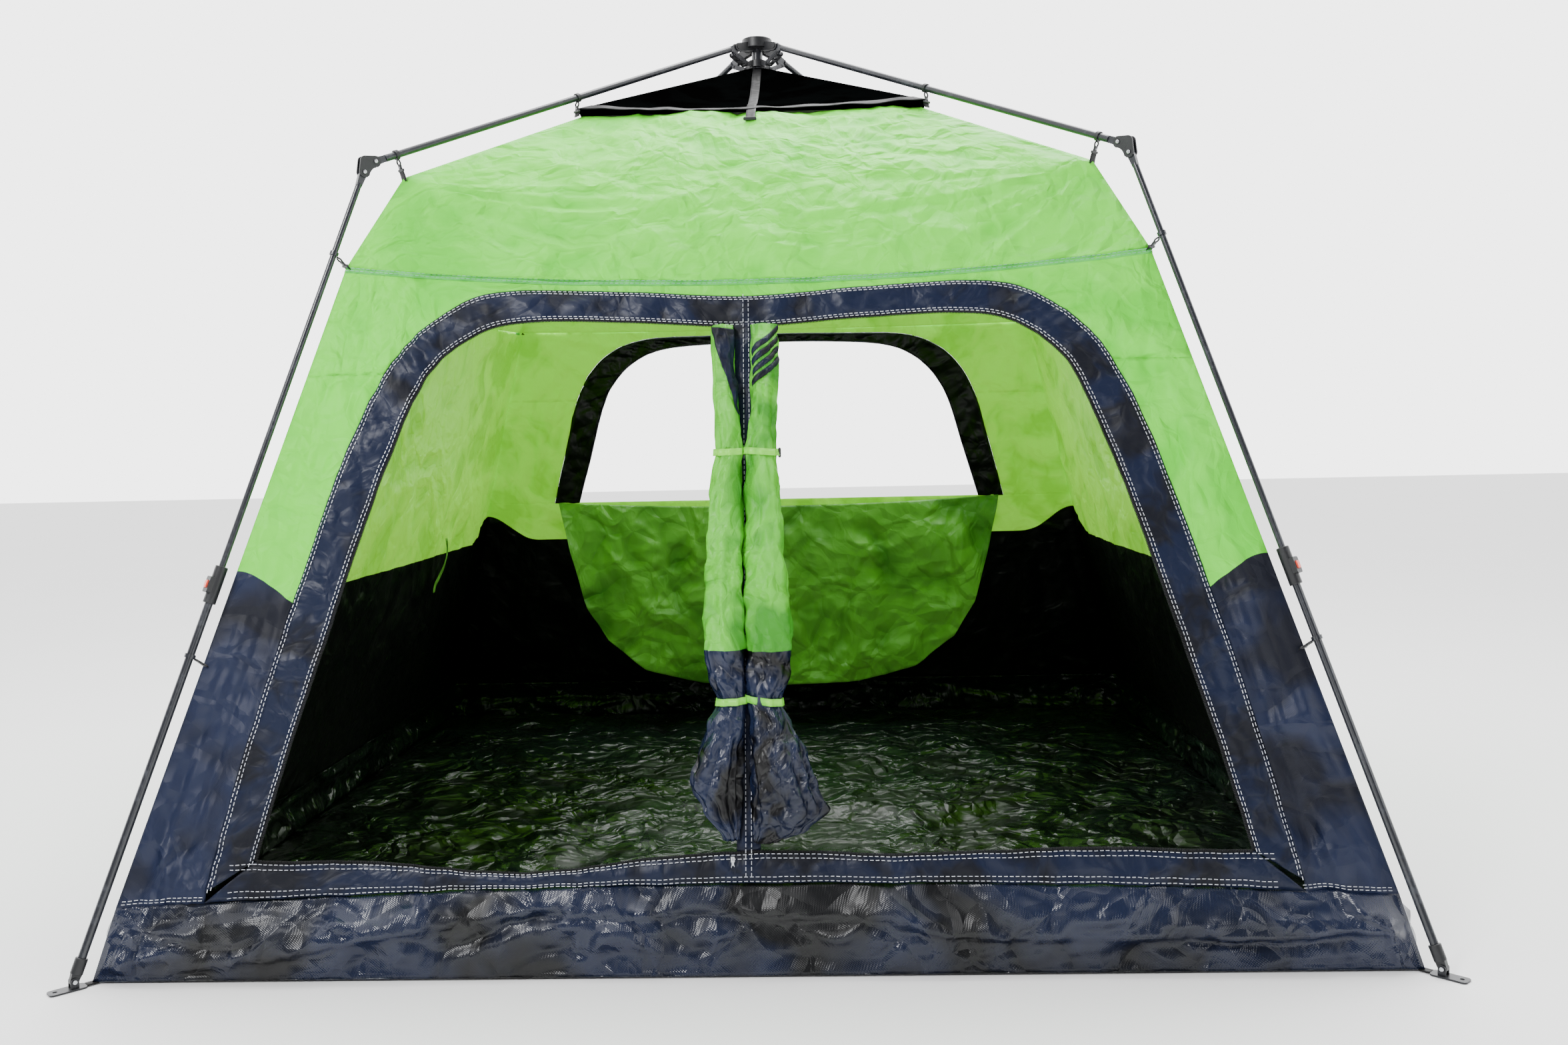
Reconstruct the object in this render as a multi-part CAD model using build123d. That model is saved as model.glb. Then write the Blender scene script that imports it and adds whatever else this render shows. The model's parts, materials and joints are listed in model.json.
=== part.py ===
from build123d import *
import math
import os

# A cabin tent that hangs inside a folding pole frame.  Millimetres, +Z up.
# The origin is on the ground in the middle of the floor; the door faces -Y.

# ---- tent body: sizes of the square body at each seam, from the ground up ----
FLOOR_HALF = 1370.0
TUB_LEAN = 37.0
TUB_Z = 147.0
WALL_LEAN = 402.0
EAVE_Z = 1525.0
STEEP_IN = 109.0
STEEP_UP = 224.0
VENT_HALF = 448.0
ROOF_PITCH = 0.6016
MESH_PITCH = 0.3259
CAP_OVERHANG = 14.0
CAP_LIFT = 16.0
CAP_PITCH = 0.4762
CLOTH_T = 1.2
FLOOR_T = 2.0
MESH_T = 0.8

# ---- front doorway and rear window, as arches in their walls ----
DOOR_SILL_Z = 240.0
DOOR_FOOT_HALF = 1043.0
DOOR_SPRING_HALF = 735.0
DOOR_TOP_HALF = 560.0
DOOR_HEAD = 140.0
DOOR_ARCH_RISE = 115.0
WINDOW_SILL_Z = 885.0
WINDOW_FOOT_HALF = 765.0
WINDOW_SPRING_HALF = 645.0
WINDOW_TOP_HALF = 400.0
WINDOW_HEAD = 35.0
WINDOW_ARCH_RISE = 200.0
ARCH_STEPS = 3

# ---- rolled door panels, their ties, the dropped window flap and the zip pull ----
DOOR_POST_HALF = 4.0
ROLL_R = 43.0
ROLL_GAP = 0.3
ROLL_LOW_R = 50.0
ROLL_OVER_SILL = 80.0
ROLL_UNDER_HEAD = 35.0
HIGH_TIE_DOWN = 272.0
LOW_TIE_UP = 228.0
TIE_W = 16.0
TIE_T = 2.0
TIE_SLACK = 0.4
FLAP_LAP = 75.0
FLAP_TAPER = 140.0
FLAP_DROP = 700.0
FLAP_CORNER_R = 290.0
FLAP_GAP = 0.3
ZIP_X = -33.0
ZIP_DOWN = 16.0
ZIP_W = 9.0
ZIP_H = 13.0
ZIP_T = 8.0
PULL_W = 6.0
PULL_L = 20.0
PULL_T = 1.4

# ---- pole frame ----
HUB_R = 44.0
HUB_H = 30.0
HUB_OVER_CAP = 52.0
POST_R = 16.0
HUB_PIVOT_OUT = 36.0
HUB_PIVOT_DOWN = 6.0
KNUCKLE_OUT = 74.51
KNUCKLE_UP = 29.0
KNEE_DR = 29.0
KNEE_DZ = -28.0
FOOT_CLEAR = 35.53
FOOT_Z = 16.0
RAFTER_TUBE_R = 8.5
LOWER_TUBE_R = 8.5
TUBE_SLIDE = 0.5
TUBE_WALL = 1.0
TONGUE_T = 10.0
TONGUE_EYE_R = 9.5
TONGUE_L = 30.0
RIVET_R = 3.5
RIVET_HEAD_LIP = 2.0
RIVET_HEAD_H = 1.6
PLATE_T = 3.2
GAP = 0.3

# ---- slider and links of the umbrella mechanism ----
LINK_DR = 14.0
LINK_DZ = -24.0
SLIDER_PIVOT_OUT = 22.0
SLIDER_PIVOT_DOWN = 49.0
SLIDER_H = 19.0
SLIDER_WALL = 10.0
SLIDER_EYE_R = 6.5
LINK_T = 2.5
LINK_EYE_R = 6.5

# ---- fold: turn of each rafter, in degrees, and rise of the hub while it folds ----
RAFTER_FOLD = 65.0
HUB_RISE = 1400.0

# ---- telescopic legs ----
SLEEVE_LOW = 815.0
SLEEVE_L = 84.0
SLEEVE_WALL = 5.0
SLEEVE_LIP = 12.0
TUBE_OVERLAP = 150.0
BUTTON_W = 12.0
BUTTON_L = 17.0
BUTTON_UP = 30.0
BUTTON_PROUD = 3.5
BUTTON_TRAVEL = 2.5
HOUSING_PROUD = 5.5
HOUSING_W = 22.0
HOUSING_L = 36.0
TELESCOPE_TRAVEL = 600.0

# ---- strap rings, straps and feet ----
STRAP_T = 2.0
STRAP_W = 20.0
RING_T = 3.0
RING_W = 9.0
CAP_RING_IN = 2.97
BREAK_RING_IN = 61.85
UPPER_RING_OVER = 28.69
LOWER_RING_UP = 695.0
SOCKET_WALL = 4.0
SOCKET_L = 34.0
SOCKET_UP = 14.0
SOCKET_TONGUE_T = 12.0
FOOT_EYE_R = 8.5
FOOT_PLATE_T = 3.0
FOOT_PLATE_W = 32.0
FOOT_IN = 23.0
FOOT_OUT = 49.0
STAKE_HOLE_R = 4.5
STAKE_HOLE_OUT = 36.0

CORNERS = {"front_left": 225.0, "front_right": 315.0, "rear_right": 45.0, "rear_left": 135.0}

BOTTOM = (Align.CENTER, Align.CENTER, Align.MIN)
DIAGONAL = math.sqrt(2.0)

# ---- levels and widths that follow from the sizes above ----
TUB_HALF = FLOOR_HALF - TUB_LEAN
EAVE_HALF = TUB_HALF - WALL_LEAN
ROOF_BREAK_HALF = EAVE_HALF - STEEP_IN
ROOF_BREAK_Z = EAVE_Z + STEEP_UP
VENT_Z = ROOF_BREAK_Z + (ROOF_BREAK_HALF - VENT_HALF) * ROOF_PITCH
VENT_MESH_APEX_Z = VENT_Z + VENT_HALF * MESH_PITCH
CAP_HALF = VENT_HALF + CAP_OVERHANG
CAP_Z = VENT_Z + CAP_LIFT
CAP_APEX_Z = CAP_Z + CAP_HALF * CAP_PITCH
DOOR_TOP_Z = EAVE_Z - DOOR_HEAD
DOOR_SPRING_Z = DOOR_TOP_Z - DOOR_ARCH_RISE
WINDOW_TOP_Z = EAVE_Z - WINDOW_HEAD
WINDOW_SPRING_Z = WINDOW_TOP_Z - WINDOW_ARCH_RISE
ROLL_BOTTOM_Z = DOOR_SILL_Z + ROLL_OVER_SILL
ROLL_TOP_Z = DOOR_TOP_Z - ROLL_UNDER_HEAD
TIE_HEIGHTS = (ROLL_TOP_Z - HIGH_TIE_DOWN, ROLL_BOTTOM_Z + LOW_TIE_UP)
FLAP_HALF = WINDOW_FOOT_HALF + FLAP_LAP
FLAP_FOOT_HALF = FLAP_HALF - FLAP_TAPER
ZIP_Z = DOOR_SILL_Z - ZIP_DOWN
HUB_Z = CAP_APEX_Z + HUB_OVER_CAP
UPPER_TUBE_R = LOWER_TUBE_R - TUBE_WALL - TUBE_SLIDE
SLEEVE_R = LOWER_TUBE_R + SLEEVE_WALL
HOUSING_R = SLEEVE_R + HOUSING_PROUD
SOCKET_R = LOWER_TUBE_R + SOCKET_WALL
RIVET_HEAD_R = RIVET_R + RIVET_HEAD_LIP
SLIDER_PIVOT_R = POST_R + SLIDER_WALL + SLIDER_PIVOT_OUT
SLIDER_PIVOT_Z = HUB_Z - SLIDER_PIVOT_DOWN


# ---------------------------------------------------------------- helpers
def solids_of(items):
    found = []
    for item in items:
        found += list(item.solids())
    return found


def save(name, items):
    export_step(Compound(children=solids_of(items)), "parts/" + name + ".step")


def wall_half(z):
    """Half width of the body at height z, on the wall between tub seam and eave."""
    share = (z - TUB_Z) / (EAVE_Z - TUB_Z)
    return TUB_HALF + (EAVE_HALF - TUB_HALF) * share


def sheet(points, direction, thickness):
    face = Face(Wire.make_polygon([Vector(*p) for p in points], close=True))
    return extrude(face, amount=thickness, dir=direction)


def front_sheet(flat, half_at):
    """Cloth with the (x, z) outline flat, on the front face of the body."""
    return sheet([(x, -half_at(z), z) for x, z in flat], (0, 1, 0), CLOTH_T)


def turned(items, angle):
    return [Rot(0, 0, angle) * item for item in items]


def arch_half(z, foot, spring, top):
    """Half width of an arched opening; foot, spring and top are (half width, z)."""
    if z <= spring[1]:
        share = (z - foot[1]) / (spring[1] - foot[1])
        return foot[0] + (spring[0] - foot[0]) * share
    rise = min((z - spring[1]) / (top[1] - spring[1]), 1.0)
    return top[0] + (spring[0] - top[0]) * math.sqrt(1.0 - rise * rise)


def arched_wall(foot, spring, top):
    """A front wall round one arch, as flat pieces that meet edge to edge."""
    curve = [math.radians(90.0 * i / ARCH_STEPS) for i in range(ARCH_STEPS + 1)]
    levels = [foot[1]] + [spring[1] + (top[1] - spring[1]) * math.sin(a) for a in curve]
    pieces = [full_band(TUB_Z, foot[1]), full_band(top[1], EAVE_Z)]
    for low, high in zip(levels, levels[1:]):
        for side in (-1, 1):
            flat = [
                (side * arch_half(low, foot, spring, top), low),
                (side * wall_half(low), low),
                (side * wall_half(high), high),
                (side * arch_half(high, foot, spring, top), high),
            ]
            pieces.append(front_sheet(flat, wall_half))
    return pieces


def full_band(low, high):
    flat = [(-wall_half(low), low), (wall_half(low), low), (wall_half(high), high), (-wall_half(high), high)]
    return front_sheet(flat, wall_half)


def upright_thickness(half_low, z_low, half_high, z_high, thickness):
    """Thickness of a sloping cloth measured straight up."""
    return thickness * math.hypot(z_high - z_low, half_low - half_high) / (half_low - half_high)


def roof_facet(half_low, z_low, half_high, z_high, thickness):
    """A roof slope over the front side, thickened straight up so that hips are mitred."""
    upright = upright_thickness(half_low, z_low, half_high, z_high, thickness)
    outline = [(-half_low, -half_low, z_low), (half_low, -half_low, z_low)]
    if half_high > 0:
        outline += [(half_high, -half_high, z_high), (-half_high, -half_high, z_high)]
    else:
        outline += [(0, 0, z_high)]
    return sheet(outline, (0, 0, 1), upright)


def all_round(piece):
    return [Rot(0, 0, 90 * i) * piece for i in range(4)]


def side_view(sketch, thickness, offset=0.0):
    """A sketch in the (radius, height) plane, thickened across it, centred at offset."""
    body = extrude(Plane.XZ * sketch, amount=thickness / 2, both=True)
    return Pos(0, offset, 0) * body


def bar(p, q, r_p, r_q):
    """A flat bar with round ends from p to q."""
    dx, dz = q[0] - p[0], q[1] - p[1]
    length = math.hypot(dx, dz)
    nx, nz = -dz / length, dx / length
    corners = [
        (p[0] + nx * r_p, p[1] + nz * r_p),
        (q[0] + nx * r_q, q[1] + nz * r_q),
        (q[0] - nx * r_q, q[1] - nz * r_q),
        (p[0] - nx * r_p, p[1] - nz * r_p),
    ]
    body = make_face(Polyline(*corners, close=True))
    return body + Pos(*p) * Circle(r_p) + Pos(*q) * Circle(r_q)


def cross_pin(p, radius, length):
    """A pin across the radial plane at p."""
    return Pos(p[0], 0, p[1]) * (Rot(90, 0, 0) * Cylinder(radius, length))


def rivet(p, grip):
    head_length = grip + 2 * RIVET_HEAD_H
    head = cross_pin(p, RIVET_HEAD_R, head_length) - cross_pin(p, RIVET_HEAD_R + 1, grip)
    return head + cross_pin(p, RIVET_R, grip + RIVET_HEAD_H)


def step_along(p, direction, distance):
    return (p[0] + direction[0] * distance, p[1] + direction[1] * distance)


def tube_on(p, direction, outer, inner, length):
    """A tube whose axis starts at p and runs along direction, both in the radial plane."""
    place = Plane(origin=(p[0], 0, p[1]), x_dir=(0, 1, 0), z_dir=(direction[0], 0, direction[1]))
    hollow = Cylinder(outer, length, align=BOTTOM) - Cylinder(inner, length, align=BOTTOM)
    return place.location * hollow


def unit(p, q):
    length = math.hypot(q[0] - p[0], q[1] - p[1])
    return ((q[0] - p[0]) / length, (q[1] - p[1]) / length), length


# ---------------------------------------------------------------- frame geometry
HUB_PIVOT = (HUB_R + HUB_PIVOT_OUT, HUB_Z - HUB_PIVOT_DOWN)
KNUCKLE = (ROOF_BREAK_HALF * DIAGONAL + KNUCKLE_OUT, ROOF_BREAK_Z + KNUCKLE_UP)
KNEE = (KNUCKLE[0] + KNEE_DR, KNUCKLE[1] + KNEE_DZ)
FOOT_R = FLOOR_HALF * DIAGONAL + FOOT_CLEAR
FOOT = (FOOT_R, FOOT_Z)
LINK_TOP = (HUB_PIVOT[0] + LINK_DR, HUB_PIVOT[1] + LINK_DZ)
LINK_FOOT = (SLIDER_PIVOT_R, SLIDER_PIVOT_Z)
RAFTER_DIR, RAFTER_L = unit(HUB_PIVOT, KNUCKLE)
LEG_UP, LEG_L = unit(FOOT, KNEE)
CAP_RING_S = (CAP_HALF * DIAGONAL - CAP_RING_IN - HUB_PIVOT[0]) / RAFTER_DIR[0]
BREAK_RING_S = RAFTER_L - BREAK_RING_IN
UPPER_RING_DOWN = (KNEE[1] - EAVE_Z - UPPER_RING_OVER) / LEG_UP[1]
LUG_OFFSET = (TONGUE_T + PLATE_T) / 2 + GAP
LINK_OFFSET = LUG_OFFSET + (PLATE_T + LINK_T) / 2 + GAP
HOLE_R = RIVET_R + GAP


# ---------------------------------------------------------------- tent body
def floor_tub():
    base = Box(2 * FLOOR_HALF, 2 * FLOOR_HALF, FLOOR_T, align=BOTTOM)

    def tub_half(z):
        return FLOOR_HALF + (TUB_HALF - FLOOR_HALF) * z / TUB_Z

    low, high = tub_half(FLOOR_T), tub_half(TUB_Z)
    wide = front_sheet([(-low, FLOOR_T), (low, FLOOR_T), (high, TUB_Z), (-high, TUB_Z)], tub_half)
    low, high = low - CLOTH_T, high - CLOTH_T
    narrow = front_sheet([(-low, FLOOR_T), (low, FLOOR_T), (high, TUB_Z), (-high, TUB_Z)], tub_half)
    return [base] + turned([wide], 0) + turned([wide], 180) + turned([narrow], 90) + turned([narrow], 270)


def side_wall():
    low, high = wall_half(TUB_Z) - CLOTH_T, wall_half(EAVE_Z) - CLOTH_T
    return front_sheet([(-low, TUB_Z), (low, TUB_Z), (high, EAVE_Z), (-high, EAVE_Z)], wall_half)


def front_wall():
    foot, spring = (DOOR_FOOT_HALF, DOOR_SILL_Z), (DOOR_SPRING_HALF, DOOR_SPRING_Z)
    pieces = arched_wall(foot, spring, (DOOR_TOP_HALF, DOOR_TOP_Z))
    half = DOOR_POST_HALF
    flat = [(-half, DOOR_SILL_Z), (half, DOOR_SILL_Z), (half, DOOR_TOP_Z), (-half, DOOR_TOP_Z)]
    return pieces + [front_sheet(flat, wall_half)]


def rear_wall():
    foot, spring = (WINDOW_FOOT_HALF, WINDOW_SILL_Z), (WINDOW_SPRING_HALF, WINDOW_SPRING_Z)
    return turned(arched_wall(foot, spring, (WINDOW_TOP_HALF, WINDOW_TOP_Z)), 180)


def roof():
    steep = roof_facet(EAVE_HALF, EAVE_Z, ROOF_BREAK_HALF, ROOF_BREAK_Z, CLOTH_T)
    shallow = roof_facet(ROOF_BREAK_HALF, ROOF_BREAK_Z, VENT_HALF, VENT_Z, CLOTH_T)
    return all_round(steep) + all_round(shallow)


def vent_mesh():
    return all_round(roof_facet(VENT_HALF, VENT_Z, 0, VENT_MESH_APEX_Z, MESH_T))


def vent_cap():
    facet = roof_facet(CAP_HALF, CAP_Z, 0, CAP_APEX_Z, CLOTH_T)
    post_hole = Cylinder(POST_R + 0.6, 3 * CAP_APEX_Z)
    return [piece - post_hole for piece in all_round(facet)]


def roll_radius(z):
    share = (z - ROLL_BOTTOM_Z) / (ROLL_TOP_Z - ROLL_BOTTOM_Z)
    return ROLL_LOW_R + (ROLL_R - ROLL_LOW_R) * share


def roll_axis(side, z):
    """A roll's middle at height z, just beside the door post."""
    return (side * (DOOR_POST_HALF + ROLL_GAP + roll_radius(z)), -wall_half(z), z)


def door_rolls():
    rolls = []
    for side in (-1, 1):
        low, high = Vector(*roll_axis(side, ROLL_BOTTOM_Z)), Vector(*roll_axis(side, ROLL_TOP_Z))
        place = Plane(origin=low, x_dir=(1, 0, 0), z_dir=high - low)
        rolls.append(place.location * Cone(ROLL_LOW_R, ROLL_R, (high - low).length, align=BOTTOM))
    return rolls


def door_ties():
    """One flat loop round both rolls at each tie."""
    ties = []
    low, high = Vector(*roll_axis(0, ROLL_BOTTOM_Z)), Vector(*roll_axis(0, ROLL_TOP_Z))
    for z in TIE_HEIGHTS:
        span = 2 * roll_axis(1, z)[0]
        inner = 2 * (roll_radius(z) + TIE_SLACK)
        place = Plane(origin=(0, -wall_half(z), z), x_dir=(1, 0, 0), z_dir=high - low)
        loop = SlotCenterToCenter(span, inner + 2 * TIE_T) - SlotCenterToCenter(span, inner)
        ties.append(place.location * extrude(loop, amount=TIE_W / 2, both=True))
    return ties


def rear_flap():
    low = WINDOW_SILL_Z - FLAP_DROP
    points = [(-FLAP_HALF, WINDOW_SILL_Z), (FLAP_HALF, WINDOW_SILL_Z)]
    points += [(FLAP_FOOT_HALF, low), (-FLAP_FOOT_HALF, low)]
    outline = make_face(Polyline(*points, close=True))
    corners = outline.vertices().sort_by(Axis.Y)[:2]
    outline = fillet(corners, FLAP_CORNER_R)
    y = wall_half(WINDOW_SILL_Z) - CLOTH_T - FLAP_GAP
    return [Pos(0, y, 0) * extrude(Plane.XZ * outline, amount=CLOTH_T)]


def zip_slider():
    y = -wall_half(ZIP_Z) - GAP - ZIP_T / 2
    body = Pos(ZIP_X, y, ZIP_Z) * Box(ZIP_W, ZIP_T, ZIP_H, align=BOTTOM)
    return [fillet(body.edges().filter_by(Axis.Z), 2.0)]


def zip_pull():
    top = ZIP_Z + ZIP_H / 2
    y = -wall_half(ZIP_Z) - GAP - ZIP_T - GAP - PULL_T / 2
    tab = Pos(ZIP_X, y, top - PULL_L) * Box(PULL_W, PULL_T, PULL_L, align=BOTTOM)
    tab = fillet(tab.edges().filter_by(Axis.Y), 2.5)
    eye = Pos(ZIP_X, y, top - PULL_L + 5) * (Rot(90, 0, 0) * Cylinder(1.6, 4 * PULL_T))
    return [tab - eye]


# ---------------------------------------------------------------- hub and slider
def hub_crown():
    crown = Pos(0, 0, HUB_Z) * Cylinder(HUB_R, HUB_H, align=BOTTOM)
    crown = fillet(crown.edges(), 3.0)
    crown -= Pos(0, 0, HUB_Z + HUB_H) * Cylinder(HUB_R - 8, 10)
    arm = bar(HUB_PIVOT, (HUB_R - 18, HUB_Z + 6), 11, 13)
    for angle in CORNERS.values():
        for side in (-1, 1):
            crown += Rot(0, 0, angle) * side_view(arm, PLATE_T, side * LUG_OFFSET)
        pin = rivet(HUB_PIVOT, 2 * (LUG_OFFSET + PLATE_T / 2))
        crown += Rot(0, 0, angle) * pin
    return [crown - Pos(0, 0, HUB_Z) * Cylinder(POST_R + GAP, 2 * HUB_H - 8)]


def fold_values():
    """Turn of leg and link (degrees) and drop of the slider, from open to folded."""
    swing = math.radians(RAFTER_FOLD)
    dr = LINK_DR * math.cos(swing) + LINK_DZ * math.sin(swing)
    dz = -LINK_DR * math.sin(swing) + LINK_DZ * math.cos(swing)
    link_l = math.hypot(LINK_TOP[0] - LINK_FOOT[0], LINK_TOP[1] - LINK_FOOT[1])
    top = (HUB_PIVOT[0] + dr, HUB_PIVOT[1] + dz)
    run = top[0] - SLIDER_PIVOT_R
    foot_z = top[1] - math.sqrt(link_l**2 - run**2)
    open_angle = math.degrees(math.atan2(LINK_TOP[1] - LINK_FOOT[1], LINK_TOP[0] - LINK_FOOT[0]))
    shut_angle = math.degrees(math.atan2(top[1] - foot_z, run))
    leg_lean = math.degrees(math.atan2(-LEG_UP[0], LEG_UP[1]))
    return {
        "leg_deg": RAFTER_FOLD - leg_lean,
        "link_deg": shut_angle - open_angle,
        "slider_drop": SLIDER_PIVOT_Z - foot_z,
    }


FOLD = fold_values()


def hub_post():
    low = SLIDER_PIVOT_Z - SLIDER_H / 2 - FOLD["slider_drop"] - 8
    top = HUB_Z + HUB_H - 9
    return [Pos(0, 0, low) * Cylinder(POST_R, top - low, align=BOTTOM)]


def hub_slider():
    ring_z = SLIDER_PIVOT_Z + SLIDER_H / 2 - 3
    ring = Pos(0, 0, ring_z) * Cylinder(POST_R + SLIDER_WALL, SLIDER_H)
    arm = bar(LINK_FOOT, (POST_R + SLIDER_WALL - 4, ring_z), SLIDER_EYE_R, SLIDER_EYE_R)
    for angle in CORNERS.values():
        ring += Rot(0, 0, angle) * side_view(arm, 2 * (LINK_OFFSET - LINK_T / 2 - GAP))
        ring += Rot(0, 0, angle) * cross_pin(LINK_FOOT, RIVET_R, 2 * LINK_OFFSET + LINK_T + 3)
    return [ring - Pos(0, 0, ring_z) * Cylinder(POST_R + 0.5, 3 * SLIDER_H)]


def link():
    """Two side plates with a spacer bar; the upper end is left open beside the rafter."""
    plate = bar(LINK_FOOT, LINK_TOP, LINK_EYE_R, LINK_EYE_R) - Pos(*LINK_FOOT) * Circle(HOLE_R)
    body = side_view(plate, LINK_T, -LINK_OFFSET) + side_view(plate, LINK_T, LINK_OFFSET)
    middle = ((LINK_FOOT[0] + LINK_TOP[0]) / 2, (LINK_FOOT[1] + LINK_TOP[1]) / 2)
    body += cross_pin(middle, 2.5, 2 * LINK_OFFSET)
    for side in (-1, 1):
        head = cross_pin(LINK_TOP, RIVET_R, RIVET_HEAD_H)
        body += Pos(0, side * (LINK_OFFSET + LINK_T / 2 + RIVET_HEAD_H / 2), 0) * head
    return body


# ---------------------------------------------------------------- rafter and knuckle
def ring(p, direction, tube_r):
    inner = tube_r + GAP / 2
    start = step_along(p, direction, -RING_W / 2)
    return tube_on(start, direction, inner + RING_T, inner, RING_W)


def rafter():
    end = RAFTER_L - TONGUE_L
    inner = RAFTER_TUBE_R - TUBE_WALL
    start = step_along(HUB_PIVOT, RAFTER_DIR, TONGUE_L)
    body = tube_on(start, RAFTER_DIR, RAFTER_TUBE_R, inner, end - TONGUE_L)
    for eye, way in ((HUB_PIVOT, 1), (KNUCKLE, -1)):
        flat = bar(eye, step_along(eye, RAFTER_DIR, way * (TONGUE_L + 4)), TONGUE_EYE_R, RAFTER_TUBE_R - 1)
        body += side_view(flat, TONGUE_T)
    body += side_view(bar(HUB_PIVOT, LINK_TOP, TONGUE_EYE_R, LINK_EYE_R), TONGUE_T)
    body -= cross_pin(HUB_PIVOT, HOLE_R, 3 * TONGUE_T)
    return body - cross_pin(KNUCKLE, HOLE_R, 3 * TONGUE_T)


def rafter_rings():
    places = (CAP_RING_S, BREAK_RING_S)
    return [ring(step_along(HUB_PIVOT, RAFTER_DIR, s), RAFTER_DIR, RAFTER_TUBE_R) for s in places]


def knuckle():
    (dr, dz), _ = unit(KNUCKLE, KNEE)
    middle = ((KNUCKLE[0] + KNEE[0]) / 2, (KNUCKLE[1] + KNEE[1]) / 2)
    bulge = (middle[0] - dz * 17, middle[1] + dr * 17)
    hollow = (middle[0] + dz * 36, middle[1] - dr * 36)
    plate = bar(KNUCKLE, KNEE, 13, 13) + bar(KNUCKLE, bulge, 13, 12) + bar(bulge, KNEE, 12, 13)
    plate -= Pos(*hollow) * Circle(28)
    body = side_view(plate, PLATE_T, LUG_OFFSET) + side_view(plate, PLATE_T, -LUG_OFFSET)
    body += side_view(Pos(*bulge) * Circle(9), 2 * LUG_OFFSET)
    for p in (KNUCKLE, KNEE):
        body += rivet(p, 2 * (LUG_OFFSET + PLATE_T / 2))
    return body


# ---------------------------------------------------------------- legs and feet
SLEEVE_TOP = SLEEVE_LOW + SLEEVE_L
LEG_OUT = (LEG_UP[1], 0, -LEG_UP[0])
LEG_PLACE = Plane(origin=(FOOT[0], 0, FOOT[1]), x_dir=LEG_OUT, z_dir=(LEG_UP[0], 0, LEG_UP[1]))


def on_leg(piece, up):
    """Set a piece drawn about Z on the leg's axis, up the leg from the foot bolt; +X outward."""
    return LEG_PLACE.location * (Pos(0, 0, up) * piece)


def upper_leg():
    low = SLEEVE_TOP - TUBE_OVERLAP
    start = step_along(FOOT, LEG_UP, low)
    body = tube_on(start, LEG_UP, UPPER_TUBE_R, UPPER_TUBE_R - TUBE_WALL, LEG_L - TONGUE_L - low)
    flat = bar(KNEE, step_along(KNEE, LEG_UP, -TONGUE_L - 4), TONGUE_EYE_R, UPPER_TUBE_R - 0.5)
    body += side_view(flat, TONGUE_T)
    body -= cross_pin(KNEE, HOLE_R, 3 * TONGUE_T)
    collar = ring(step_along(KNEE, LEG_UP, -UPPER_RING_DOWN), LEG_UP, UPPER_TUBE_R)
    return [body, collar]


def lower_leg():
    low = SOCKET_UP + SOCKET_L - 26
    high = SLEEVE_TOP - SLEEVE_LIP
    start = step_along(FOOT, LEG_UP, low)
    body = tube_on(start, LEG_UP, LOWER_TUBE_R, LOWER_TUBE_R - TUBE_WALL, high - low)
    collar = ring(step_along(FOOT, LEG_UP, LOWER_RING_UP), LEG_UP, LOWER_TUBE_R)
    return [body, collar]


def sleeve():
    body = Cylinder(SLEEVE_R, SLEEVE_L, align=BOTTOM)
    body = fillet(body.edges(), 1.5)
    housing = Pos(HOUSING_R / 2, 0, BUTTON_UP + 9) * Box(HOUSING_R, HOUSING_W, HOUSING_L)
    body += fillet(housing.edges().filter_by(Axis.X), 4.0)
    body -= Cylinder(LOWER_TUBE_R + GAP, SLEEVE_L - SLEEVE_LIP + GAP, align=BOTTOM)
    body -= Cylinder(UPPER_TUBE_R + 0.5, SLEEVE_L, align=BOTTOM)
    pocket_in = LOWER_TUBE_R + GAP + 1
    pocket = Box(HOUSING_R, BUTTON_W + 1, BUTTON_L + 1, align=(Align.MIN, Align.CENTER, Align.CENTER))
    body -= Pos(pocket_in, 0, BUTTON_UP + 9) * pocket
    return on_leg(body, SLEEVE_LOW)


def button():
    inner = LOWER_TUBE_R + GAP + 1 + BUTTON_TRAVEL + 0.5
    depth = HOUSING_R + BUTTON_PROUD - inner
    body = Box(depth, BUTTON_W, BUTTON_L, align=(Align.MIN, Align.CENTER, Align.CENTER))
    body = fillet(body.edges().filter_by(Axis.X), 4.0)
    body = fillet(body.faces().sort_by(Axis.X)[-1].edges(), 1.5)
    return on_leg(Pos(inner, 0, BUTTON_UP + 9) * body, SLEEVE_LOW)


def foot_socket():
    body = Cylinder(SOCKET_R, SOCKET_L, align=BOTTOM)
    body = on_leg(fillet(body.edges(), 2.0), SOCKET_UP)
    flat = bar(FOOT, step_along(FOOT, LEG_UP, SOCKET_UP + 6), FOOT_EYE_R, SOCKET_R - 2)
    body += side_view(flat, SOCKET_TONGUE_T)
    bore_low = SOCKET_UP + SOCKET_L - 26 - GAP
    body -= on_leg(Cylinder(LOWER_TUBE_R + GAP, SOCKET_L, align=BOTTOM), bore_low)
    return body - cross_pin(FOOT, HOLE_R, 3 * SOCKET_TONGUE_T)


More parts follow.
